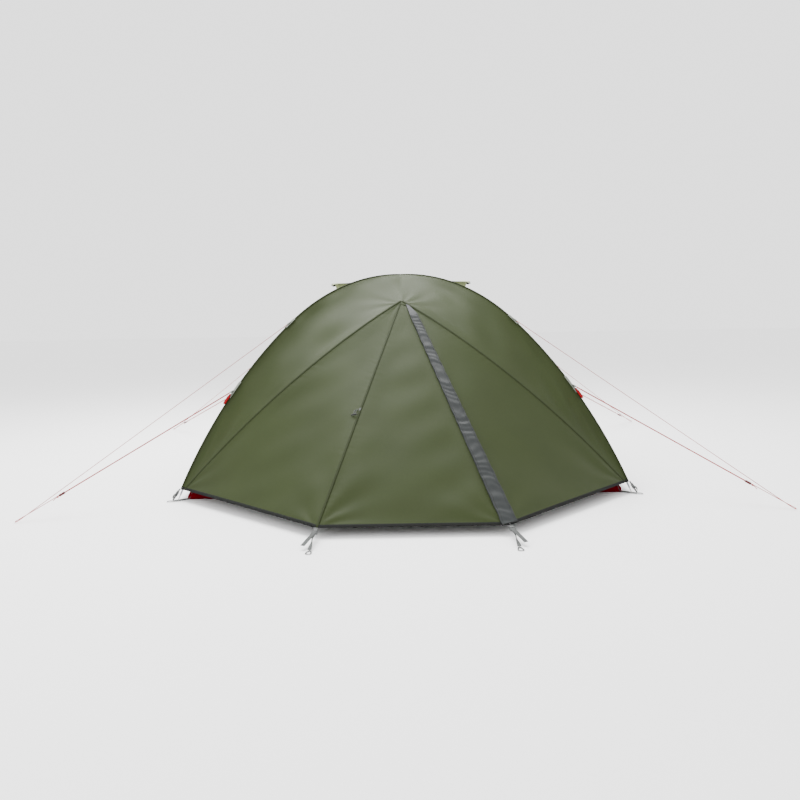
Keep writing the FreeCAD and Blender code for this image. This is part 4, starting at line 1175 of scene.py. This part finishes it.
for side_name in SIDES:
    move = None if side_name == "right" else MIRROR
    hood = hood_grid(41, 41)
    panel("vent_hood_cloth_" + side_name, hood, HOOD, "hood_" + side_name, "fly_fabric",
          ["vent_hood_" + side_name], OUT, 0.0009, move=move)
    tape, thread = Shape(), Shape()
    rim = np.concatenate([hood[:, 0], hood[-1, 1:-1], hood[::-1, -1]])
    rim = resampled(rim, 120)
    side, up = frame_of(rim, HOOD_UP)
    sweep(tape, rim - side * 0.003, side, up, flat_profile(0.009, 0.0030, 2))
    stitches(thread, rim - side * 0.006 + up * 0.0017, HOOD_UP, 0.004)
    tape.piece("hood_binding_" + side_name, BINDING, "hood_" + side_name, "webbing", move=move)
    thread.piece("hood_stitching_" + side_name, THREAD, "hood_" + side_name, "fly_fabric",
                 move=move)
    # soft gussets that close the hood's two sides down to the panel
    for index, name in ((0, "near"), (-1, "far")):
        upper = hood[2:34, index] - HOOD_UP * 0.0012
        away = (upper - HINGE) @ OUT
        lower = upper - OUT * (away - 0.0002)[:, None]
        turn = POLE_B.at_reach(np.maximum(np.abs(lower[:, 0]), 0.02) / UX, FLY_OUT)
        lower[:, 2] = POLE_B.point(turn, FLY_OUT)[1] + 0.0008
        v = np.linspace(0, 1, 9)
        gusset = mix(upper[:, None], lower[:, None], np.broadcast_to(v, (32, 9)))
        gusset[..., 1] -= np.sign(upper[:, None, 1]) * (0.006 * np.sin(v * math.pi)
                                                        * np.linspace(0.1, 1, 32)[:, None])
        shape = Shape()
        shape.grid(gusset, back=not outward(gusset, np.array([0, np.sign(upper[3, 1]), 0])))
        side_piece = shape.piece("hood_gusset_%s_%s" % (name, side_name), HOOD, "tent",
                                 "fly_fabric", thick=0.0006, move=move)
        side_piece.parent = None
        del side_piece["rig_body"]
        flip = np.array([1, 1, 1]) if side_name == "right" else np.array([-1, 1, 1])
        middle = lower[20] * flip
        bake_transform(side_piece)
    # netting over the opening: threads 2.5 mm apart both ways
    mesh = Shape()
    down_turns = np.arange(VENT_TURNS[0] - 0.002, VENT_TURNS[1] + 0.002, 0.0025 / 1.139)
    for turn in down_turns:
        s, z = POLE_B.point(turn, FLY_OUT - 0.0008)
        line = np.array([[UX * s, y, z] for y in np.linspace(-VENT_W / 2, VENT_W / 2, 5)])
        tube(mesh, line, 0.00022, 3, OUT)
    for y in np.arange(-VENT_W / 2, VENT_W / 2 + 0.001, 0.0025):
        s, z = POLE_B.point(np.linspace(VENT_TURNS[0], VENT_TURNS[1], 9), FLY_OUT - 0.0011)
        line = np.stack([UX * s, np.full(9, y), z], 1)
        tube(mesh, line, 0.00022, 3, OUT)
    # the hem round the opening
    mesh.piece("vent_netting_" + side_name, NETTING, "tent", "mesh_fabric",
               ["vent_mesh_" + side_name], move=move)
    frame_tape = Shape()
    turns = np.linspace(VENT_TURNS[0], VENT_TURNS[1], 12)
    s, z = POLE_B.point(turns, FLY_OUT + 0.0006)
    for y in (-VENT_W / 2, VENT_W / 2):
        ribbon(frame_tape, np.stack([UX * s, np.full(12, y), z], 1), OUT, 0.009, 0.0012)
    for k in (0, -1):
        line = np.stack([np.full(12, UX * s[k]), np.linspace(-0.059, 0.059, 12),
                         np.full(12, z[k])], 1)
        ribbon(frame_tape, line, OUT, 0.009, 0.0012)
    frame_tape.piece("vent_hem_" + side_name, SEAM, "tent", "fly_fabric", move=move)

# ---- groundsheet tub -----------------------------------------------------------------
def tub_corner(z):
    turn = POLE_B.at_height(np.maximum(z, 0.0), -INNER_IN)
    s = POLE_B.point(turn, -INNER_IN)[0]
    return UX * s, UY * s


def rounded_loop(half_x, half_y, corner, edge=60, bend=9):
    """A rectangle's outline with round corners, from the right side's middle and round."""
    turn = np.linspace(0, math.pi / 2, bend)
    quarter = np.stack([half_x - corner + corner * np.cos(turn),
                        half_y - corner + corner * np.sin(turn)], 1)
    corners = [quarter, quarter[::-1] * [-1, 1], quarter * [-1, -1], quarter[::-1] * [1, -1]]
    path = []
    for here, after in zip(corners, corners[1:] + corners[:1]):
        straight = np.linspace(0, 1, edge + 1)[1:-1, None]
        path += [here, here[-1] * (1 - straight) + after[0] * straight]
    return np.concatenate(path)


def tub_walls(rows):
    """The tub's wall: rounded loops up the inner tent's slope, bellied a little between the
    corners, with low waves along the wall that fade at its foot and top."""
    height = np.linspace(0.0012, TUB_H, rows)
    loops = []
    for z in height:
        x, y = tub_corner(z)
        loops.append(rounded_loop(float(x), float(y), 0.012))
    loops = np.stack(loops)
    run = lengths(np.c_[loops[0], np.zeros(len(loops[0]))])
    t = (height / TUB_H)[:, None]
    wave = 0.0030 * waves(run[None] + 0 * t, 0.5 * t + 0 * run, 77, 8, 0.09, 0.4)
    bend = wave * np.sin(t * math.pi) ** 0.8 - 0.0015 * np.sin(t * math.pi)
    out = unit(loops[0] * [HALF_WIDTH, HALF_LENGTH])
    flat = loops + out[None] * np.minimum(bend, 0.004)[..., None]
    z = np.broadcast_to(height[:, None, None], flat.shape[:2] + (1,))
    return np.concatenate([flat, z], 2), run


walls, run = tub_walls(22)
uv = np.stack(np.broadcast_arrays(np.append(run, run[-1] + 0.03)[None],
                                  np.linspace(0, TUB_H * 1.1, 22)[:, None]), 2)
shape = Shape()
shape.grid(walls, uv, around=True, back=True)
fx, fy = tub_corner(0.0)
gx, gy = np.meshgrid(np.linspace(-fx, fx, 90), np.linspace(-fy, fy, 60), indexing="ij")
base = np.stack([gx, gy, 0.0012 + 0 * gx], 2)
rest = np.minimum.reduce(from_edges(base))
base[..., 2] += 0.0012 * (1 + waves(gx, gy, 78, 10, 0.12, 0.5)).clip(0) * smooth(rest / 0.05)
shape.grid(base, np.stack([gx, gy], 2), back=True)
tub = shape.piece("groundsheet_cloth", TUB, "tent", "groundsheet_fabric", ["groundsheet_tub"])
wall = tub.modifiers.new("wall", "SOLIDIFY")
wall.thickness, wall.offset = 0.0008, -1.0
tape, thread = Shape(), Shape()
for row in (-1, 0):
    loop = walls[row] + [0, 0, 0.0004 if row else 0.0016]
    along = unit(np.roll(loop, -1, 0) - np.roll(loop, 1, 0))
    out = unit(np.cross(along, UP))
    upright = np.broadcast_to(UP, out.shape)
    if row:
        sweep(tape, loop - upright * 0.004, out, upright, flat_profile(0.0022, 0.010, 2),
              closed=True)
    line = loop + out * 0.0016 - upright * 0.004 * bool(row)
    stitches(thread, np.concatenate([line, line[:1]]), np.concatenate([out, out[:1]]), 0.007,
             (0.0024, 0.0005, 0.0006))
tape.piece("groundsheet_rim", TUB, "tent", "groundsheet_fabric")
thread.piece("groundsheet_stitching", THREAD, "tent", "groundsheet_fabric")


# ---- straps, buckles and eyelets -----------------------------------------------------
def ladder_buckle(shape, middle, run, across, width=0.026, length=0.024):
    """A ladder buckle: a rounded frame with two bars over the webbing and a lifting lip."""
    up = np.cross(run, across) * (1 if np.cross(run, across)[2] > 0 else -1)
    t = np.linspace(0, 2 * math.pi, 40, endpoint=False)
    ring = (middle + run * (length / 2 * np.sign(np.cos(t)) * np.abs(np.cos(t)) ** 0.35)[:, None]
            + across * (width / 2 * np.sign(np.sin(t)) * np.abs(np.sin(t)) ** 0.35)[:, None])
    along = unit(np.roll(ring, -1, 0) - np.roll(ring, 1, 0))
    side = unit(np.cross(along, up))
    sweep(shape, ring, side, np.cross(side, along), flat_profile(0.0034, 0.0044, 2), closed=True)
    for shift, lift in ((-0.004, 0.0022), (0.005, 0.0020)):
        t = np.linspace(-1, 1, 9)
        bar = middle + run * shift + up * lift + across * (t * width * 0.46)[:, None]
        tube(shape, bar, 0.0017, 8, up)
    t = np.linspace(-1, 1, 9)
    lip = middle - run * (length / 2 + 0.002) + up * (0.003 + 0.0015 * (1 - t ** 2))[:, None] \
        + across * (t * width * 0.34)[:, None]
    side, over = frame_of(lip, up)
    sweep(shape, lip, side, over, flat_profile(0.006, 0.0018))
    return up


def strap_loop(shape, start, centre, way, across, width=0.005, radius=0.0105):
    """Webbing turned on itself into an open loop for a peg, its legs meeting at start."""
    t = np.linspace(0, 2 * math.pi, 48, endpoint=False)
    reach = np.where(np.cos(t) < 0, np.linalg.norm(centre - start), radius * 1.15)
    narrow = np.where(np.cos(t) < 0, 1 - 0.55 * np.abs(np.cos(t)) ** 2, 1.0)
    ring = (centre + way * (np.cos(t) * reach)[:, None]
            + across * (np.sin(t) * radius * narrow)[:, None])
    along = unit(np.roll(ring, -1, 0) - np.roll(ring, 1, 0))
    up = unit(np.cross(way, across))
    side = unit(np.cross(along, up))
    sweep(shape, ring, side, np.cross(side, along), flat_profile(width, 0.0018, 2), closed=True)


corner_webs, corner_stitches, fly_webs, fly_buckles = Shape(), Shape(), Shape(), Shape()
EYE_S = (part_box("corner_eyelets")[1][0] - 0.0085) / UX
for sx in (-1, 1):
    for sy in (-1, 1):
        way = np.array([sx * UX, sy * UY, 0.0])
        across = np.cross(UP, way)
        t = np.linspace(0, 1, 14)
        on_tub = way * (1.318 + 0.030 * t)[:, None] + UP * (0.050 - 0.046 * smooth(t))[:, None]
        path = np.concatenate([on_tub, [way * (EYE_S - 0.010) + UP * 0.0042]])
        ribbon(corner_webs, resampled(path, 26), unit(way + UP * 0.6), 0.020, 0.0018)
        for shift in (-0.007, 0.007):
            line = resampled(path, 26) + across * shift + unit(way + UP * 0.8) * 0.0013
            stitches(corner_stitches, line, unit(way + UP), 0.004)
        t = np.linspace(0, 2 * math.pi, 40, endpoint=False)
        ring = (way * EYE_S + UP * 0.0042 + way * (0.0106 * np.cos(t))[:, None]
                + across * (0.0106 * np.sin(t))[:, None])
        outer = unit(ring - way * EYE_S - UP * 0.0042)
        sweep(corner_webs, ring, outer, np.broadcast_to(UP, ring.shape),
              flat_profile(0.0040, 0.0017, 2), closed=True)
        path = np.stack([way * (EYE_S + 0.0105) + UP * 0.0042, way * (PEG_S - 0.030) + UP * 0.0046])
        ribbon(corner_webs, resampled(path, 10), UP, 0.018, 0.0017)
        strap_loop(corner_webs, way * (PEG_S - 0.034) + UP * 0.0044, way * PEG_S + UP * 0.0042,
                   way, across)
        # flysheet's own strap, buckled down to the same loop
        top = way * (RIDGE_FOOT_S + 0.006) + UP * (HEM_Z + 0.002)
        low = way * (PEG_S - 0.016) + UP * 0.0076
        run_way = unit(low - top)
        t = np.linspace(0, 1, 24)[:, None]
        sagged = top + (low - top) * t - UP * 0.0015 * np.sin(t * math.pi)
        ribbon(fly_webs, sagged, unit(way + UP), 0.018, 0.0016)
        middle = top + (low - top) * 0.45
        over = ladder_buckle(fly_buckles, middle, run_way, across)
        t = np.linspace(0, 1, 16)[:, None]
        tail = (middle + over * (0.0035 + 0.006 * np.sin(t * 2.6)) + run_way * 0.026 * t
                + across * 0.006 * t ** 2)
        ribbon(fly_webs, tail, over, 0.0175, 0.0014)
corner_webs.piece("corner_webbing", WEBBING, "tent", "webbing", ["corner_straps"])
corner_stitches.piece("corner_stitching", THREAD, "tent", "webbing")
fly_webs.piece("fly_corner_webbing", WEBBING, "tent", "webbing", ["fly_corner_straps"])
fly_buckles.piece("fly_corner_ladder_buckles", GREY_PLASTIC, "tent", "clip_plastic",
                  ["fly_corner_buckles"])

PORCH_PEG_X, PORCH_PEG_Y = 0.412, -1.732
porch_webs, porch_frames = Shape(), Shape()
for sy in (-1, 1):
    for side in (-1, 1):
        flip = np.array([-sy, -sy, 1])
        top = np.array([PORCH_SHIFT + side * (PORCH_HALF + 0.003), PORCH_HEM_Y - 0.003,
                        PORCH_HEM_Z - 0.001]) * flip
        peg = np.array([PORCH_SHIFT + side * PORCH_PEG_X, PORCH_PEG_Y, 0.0032]) * flip
        run_way = unit(peg - top)
        across = unit(np.cross(UP, run_way))
        middle = top + (peg - top) * 0.2
        t = np.linspace(0, 1, 10)[:, None]
        ribbon(porch_webs, top + run_way * -0.004 + (middle - top + run_way * 0.008) * t,
               UP, 0.018, 0.0016)
        over = ladder_buckle(porch_frames, middle, run_way, across)
        # the running leg, half twisted on its way to the peg loop
        t = np.linspace(0, 1, 36)
        leg = middle + (peg - run_way * 0.026 - middle) * t[:, None]
        turn = 1.1 * side * np.sin(t * math.pi) ** 2
        normal = over * np.cos(turn)[:, None] + across * np.sin(turn)[:, None]
        side_way = np.cross(np.broadcast_to(run_way, normal.shape), normal)
        sweep(porch_webs, leg + UP * 0.003 * np.sin(t * math.pi)[:, None], side_way, normal,
              flat_profile(0.016, 0.0015))
        flat_way = unit(run_way * [1, 1, 0])
        strap_loop(porch_webs, peg - run_way * 0.030, peg + flat_way * 0.004, flat_way, across)
        # the free tail beyond the buckle, lying out to the side
        t = np.linspace(0, 1, 26)[:, None]
        tail = (middle + over * (0.0035 + 0.008 * np.sin(t * 2.2) * (1 - 0.4 * t))
                + run_way * 0.125 * t + across * (-sy) * side * 0.030 * t ** 1.4)
        ribbon(porch_webs, tail, over, 0.018, 0.0015)
porch_webs.piece("porch_webbing", WEBBING, "tent", "webbing", ["porch_straps"])
porch_frames.piece("porch_ladder_buckles", GREY_PLASTIC, "tent", "clip_plastic",
                   ["porch_buckles"])

# ---- guy tabs and line pouches -------------------------------------------------------
tab_webs, tab_stitches, pouches, pouch_stitches = Shape(), Shape(), Shape(), Shape()
for quarter, peg in ((-1, FRONT_PEG), (1, REAR_PEG)):
    for sx in (-1, 1):
        flip = np.array([-sx, 1, 1])
        for reach in (UPPER_TAB_S, LOWER_TAB_S):
            turn = float(POLE_B.at_reach(reach, FLY_OUT))
            s, z = (float(value) for value in POLE_B.point(turn, FLY_OUT + 0.002))
            at = np.array([-UX * s, quarter * UY * s, z])
            way = unit(peg - at)
            across = unit(np.cross(UP, way))
            up = np.cross(way, across)
            up = up * np.sign(up[2])
            t = np.linspace(0, 1, 30)
            reach_out = 0.029 * np.sin(t * math.pi) ** 0.8
            height = 0.0036 * np.cos(t * math.pi) * np.sin(t * math.pi) ** 0.5
            loop = (at + way * reach_out[:, None] + up * height[:, None]) * flip
            side, over = frame_of(loop, across * flip)
            sweep(tab_webs, loop, np.broadcast_to(across * flip, loop.shape),
                  unit(np.cross(np.broadcast_to(across * flip, loop.shape),
                                unit(np.gradient(loop, axis=0)))), flat_profile(0.014, 0.0011))
            patch_t = np.linspace(-1, 1, 12)
            run = POLE_B.point(turn + patch_t * 0.020, FLY_OUT + 0.0016)
            patch = np.stack([-UX * run[0], quarter * UY * run[0], run[1]], 1) * flip
            normal = unit(np.array([-UX * math.sin(turn), quarter * UY * math.sin(turn),
                                    math.cos(turn)])) * flip
            ribbon(tab_webs, patch, normal, 0.026, 0.0016)
            for shift in (-0.009, 0.009):
                stitches(tab_stitches, patch + across * flip * shift + normal * 0.0010, normal,
                         0.004)
        hang, foot = (np.array([-UX * s, quarter * UY * s, z]) for s, z in (
            (float(a), float(b)) for a, b in (POLE_B.point(float(POLE_B.at_reach(
                reach, FLY_OUT)), FLY_OUT + 0.008) for reach in (LOWER_TAB_S + 0.019,
                                                                 LOWER_TAB_S + 0.058))))
        hang, foot = hang * flip, foot * flip
        down = unit(foot - hang)
        across = unit(np.cross(UP, hang * [1, 1, 0]))
        out = unit(np.cross(down, across))
        out = out * np.sign(out @ (hang * [1, 1, 0]))
        t = np.linspace(0, 1, 40)
        u = np.arange(28) * 2 * math.pi / 28
        wide = 0.0125 * np.interp(t, [0, 0.03, 0.10, 0.2, 0.8, 0.95, 1],
                                  [0.35, 0.62, 0.55, 0.9, 1, 0.8, 0.25])
        thick = 0.0052 * np.interp(t, [0, 0.08, 0.12, 0.3, 0.8, 0.96, 1],
                                   [0.5, 0.5, 0.45, 0.9, 1, 0.7, 0.2])
        ripple = 1 + 0.07 * np.sin(5 * u[None] + 9 * t[:, None]) * np.sin(t * math.pi)[:, None]
        p = (hang + (foot - hang) * t[:, None])[:, None] \
            + across * (wide[:, None] * np.cos(u) * ripple)[..., None] \
            + out * (thick[:, None] * np.sin(u) * ripple)[..., None]
        part = Shape()
        wrap = np.linspace(0, 0.06, 29)
        uv = np.stack(np.broadcast_arrays(wrap[None], (t * 0.085)[:, None]), 2)
        turned = np.cross(across, out) @ down > 0
        index = part.grid(p, uv, around=True, back=not turned)
        part.fan(index[0, :-1], back=turned)
        part.fan(index[-1, :-1], back=not turned)
        pouches.add(part)
        ring_t = np.linspace(0, 2 * math.pi, 24)
        ring = (hang + (foot - hang) * 0.10 + across * (0.0078 * np.cos(ring_t))[:, None]
                + out * (0.0032 * np.sin(ring_t))[:, None])
        tube(pouches, ring, 0.0011, 6, down)
        line = hang + (foot - hang) * np.linspace(0.2, 0.92, 20)[:, None] + out * 0.0056
        for shift in (-0.006, 0.006):
            stitches(pouch_stitches, line + across * shift - out * 0.0006, out, 0.004)
tab_webs.piece("guy_tab_webbing", TAB, "tent", "webbing", ["guy_tabs"])
tab_stitches.piece("guy_tab_stitching", THREAD, "tent", "webbing")
pouches.piece("line_pouches", POUCH, "tent", "pouch_fabric", ["guyline_pouches"])
pouch_stitches.piece("line_pouch_stitching", THREAD, "tent", "pouch_fabric")

# ---- inner tent ----------------------------------------------------------------------
DOORWAY_HALF, DOORWAY_LOW, DOORWAY_HIGH = 0.380, 0.175, 0.835
DOORWAY_R = ((DOORWAY_HIGH - DOORWAY_LOW) ** 2 + DOORWAY_HALF ** 2) \
    / (2 * (DOORWAY_HIGH - DOORWAY_LOW))
DOORWAY_Z = DOORWAY_HIGH - DOORWAY_R


def inner_front(x, z):
    """Points of the inner tent's front wall above given x and heights."""
    turn = POLE_B.at_height(z, -INNER_IN - 0.0006)
    s = POLE_B.point(turn, -INNER_IN - 0.0006)[0]
    return np.stack([x, -UY * s, z], -1)


def wall_half(z):
    turn = POLE_B.at_height(z, -INNER_IN - 0.0006)
    return UX * POLE_B.point(turn, -INNER_IN - 0.0006)[0] - 0.0012


def doorway_half(z, inset=0.0):
    return np.sqrt(np.maximum((DOORWAY_R - inset) ** 2 - (z - DOORWAY_Z) ** 2, 0))


# the doorway's arc and the wall's outline, both from the left foot over the top to the right
low_angle = math.atan2(DOORWAY_LOW - DOORWAY_Z, -DOORWAY_HALF) + 2 * math.pi
arc_turn = np.linspace(low_angle, math.pi - low_angle, 141)
arc_x = DOORWAY_R * np.cos(arc_turn)
arc_z = DOORWAY_Z + DOORWAY_R * np.sin(arc_turn)
edge_turn = np.linspace(float(POLE_B.at_height(DOORWAY_LOW, -INNER_IN)),
                        float(POLE_B.at_reach(0.010, -INNER_IN)), 71)
edge_s, edge_z = POLE_B.point(edge_turn, -INNER_IN - 0.0006)
out_x = np.concatenate([-(UX * edge_s - 0.0012), (UX * edge_s - 0.0012)[::-1][1:]])
out_z = np.concatenate([edge_z, edge_z[::-1][1:]])

for number, end in enumerate(ENDS):
    move = None if end == "front" else HALF_TURN
    v = np.linspace(0, 1, 34)[:, None]
    ring_x, ring_z = arc_x * (1 - v) + out_x * v, arc_z * (1 - v) + out_z * v
    around_door = inner_front(ring_x, ring_z)
    z = np.linspace(INNER_Z, DOORWAY_LOW, 10)
    x = wall_half(z)[:, None] * np.linspace(-1, 1, 120)[None]
    sill = inner_front(x, np.broadcast_to(z[:, None], x.shape))
    shape = Shape()
    for p in (around_door, sill):
        rest = np.minimum.reduce(from_edges(p))
        lift = 0.0016 * waves(p[..., 0], p[..., 2], 91 + number, 10, 0.12, 0.5) \
            * smooth(rest / 0.05)
        p = p + normals(p) * lift[..., None]
        shape.grid(p, p[..., [0, 2]], back=not outward(p, np.array([0, -1.0, 0.3])))
    wall = shape.piece("inner_wall_cloth_" + end, INNER, "tent", "inner_fabric",
                       ["inner_wall_" + end], 0.0005, move)
    z = np.linspace(DOORWAY_LOW + 0.003, DOORWAY_HIGH - 0.006, 60)
    x = np.minimum(doorway_half(z, 0.003), DOORWAY_R)[:, None] * np.linspace(-1, 1, 60)[None]
    leaf = inner_front(x, np.broadcast_to(z[:, None], x.shape))
    rest = np.minimum.reduce(from_edges(leaf))
    leaf = leaf + normals(leaf) * (0.0014 * waves(leaf[..., 0], leaf[..., 2], 95 + number, 8,
                                                  0.1, 0.4) * smooth(rest / 0.04))[..., None]
    panel("inner_door_cloth_" + end, leaf, NETTING, "inner_door_" + end, "mesh_fabric",
          ["inner_door_" + end], (0, -1, 0.3), 0.0005, move=move)
    shape = Shape()
    t = np.linspace(0, 1, 120)
    turn = arc_turn[0] + (arc_turn[-1] - arc_turn[0]) * t
    ring = inner_front((DOORWAY_R + 0.007) * np.cos(turn), DOORWAY_Z
                       + (DOORWAY_R + 0.007) * np.sin(turn))
    ribbon(shape, ring + np.array([0, -0.0012, 0.0004]), np.array([0, -1.0, 0.4]), 0.012, 0.0014)
    shape.piece("inner_zip_" + end, ZIP, "tent", "zip_plastic", move=move)

for side_name in SIDES:
    move = None if side_name == "right" else MIRROR
    turns = arch_rows(-INNER_IN, float(POLE_B.at_height(INNER_Z, -INNER_IN)), 0.016, 90)
    p = end_grid(turns, 71, -INNER_IN, 0.006)
    p = puckered(p, 61, swell=0.0012, gather=0.0005)
    panel("inner_end_cloth_" + side_name, p, INNER, "tent", "inner_fabric",
          ["inner_end_" + side_name], RIGHT, 0.0005, move=move)

# ---- frame parts that keep their own shape -------------------------------------------
KEPT = {ALUMINIUM: ("pole_a_sections", "pole_b_sections"),
        BRIGHT: ("pole_a_ferrules", "pole_b_ferrules", "pole_tips"),
        EYELET: ("corner_eyelets",), PLASTIC: ("pole_cross_clip", "inner_clips"),
        GREY_PLASTIC: ("vent_prop_left", "vent_prop_right"),
        WEBBING: ("pole_a_shock_cord", "pole_b_shock_cord")}
for finish, names in KEPT.items():
    for name in names:
        for material_slot in frame["nodes"][name].material_slots:
            material_slot.material = finish
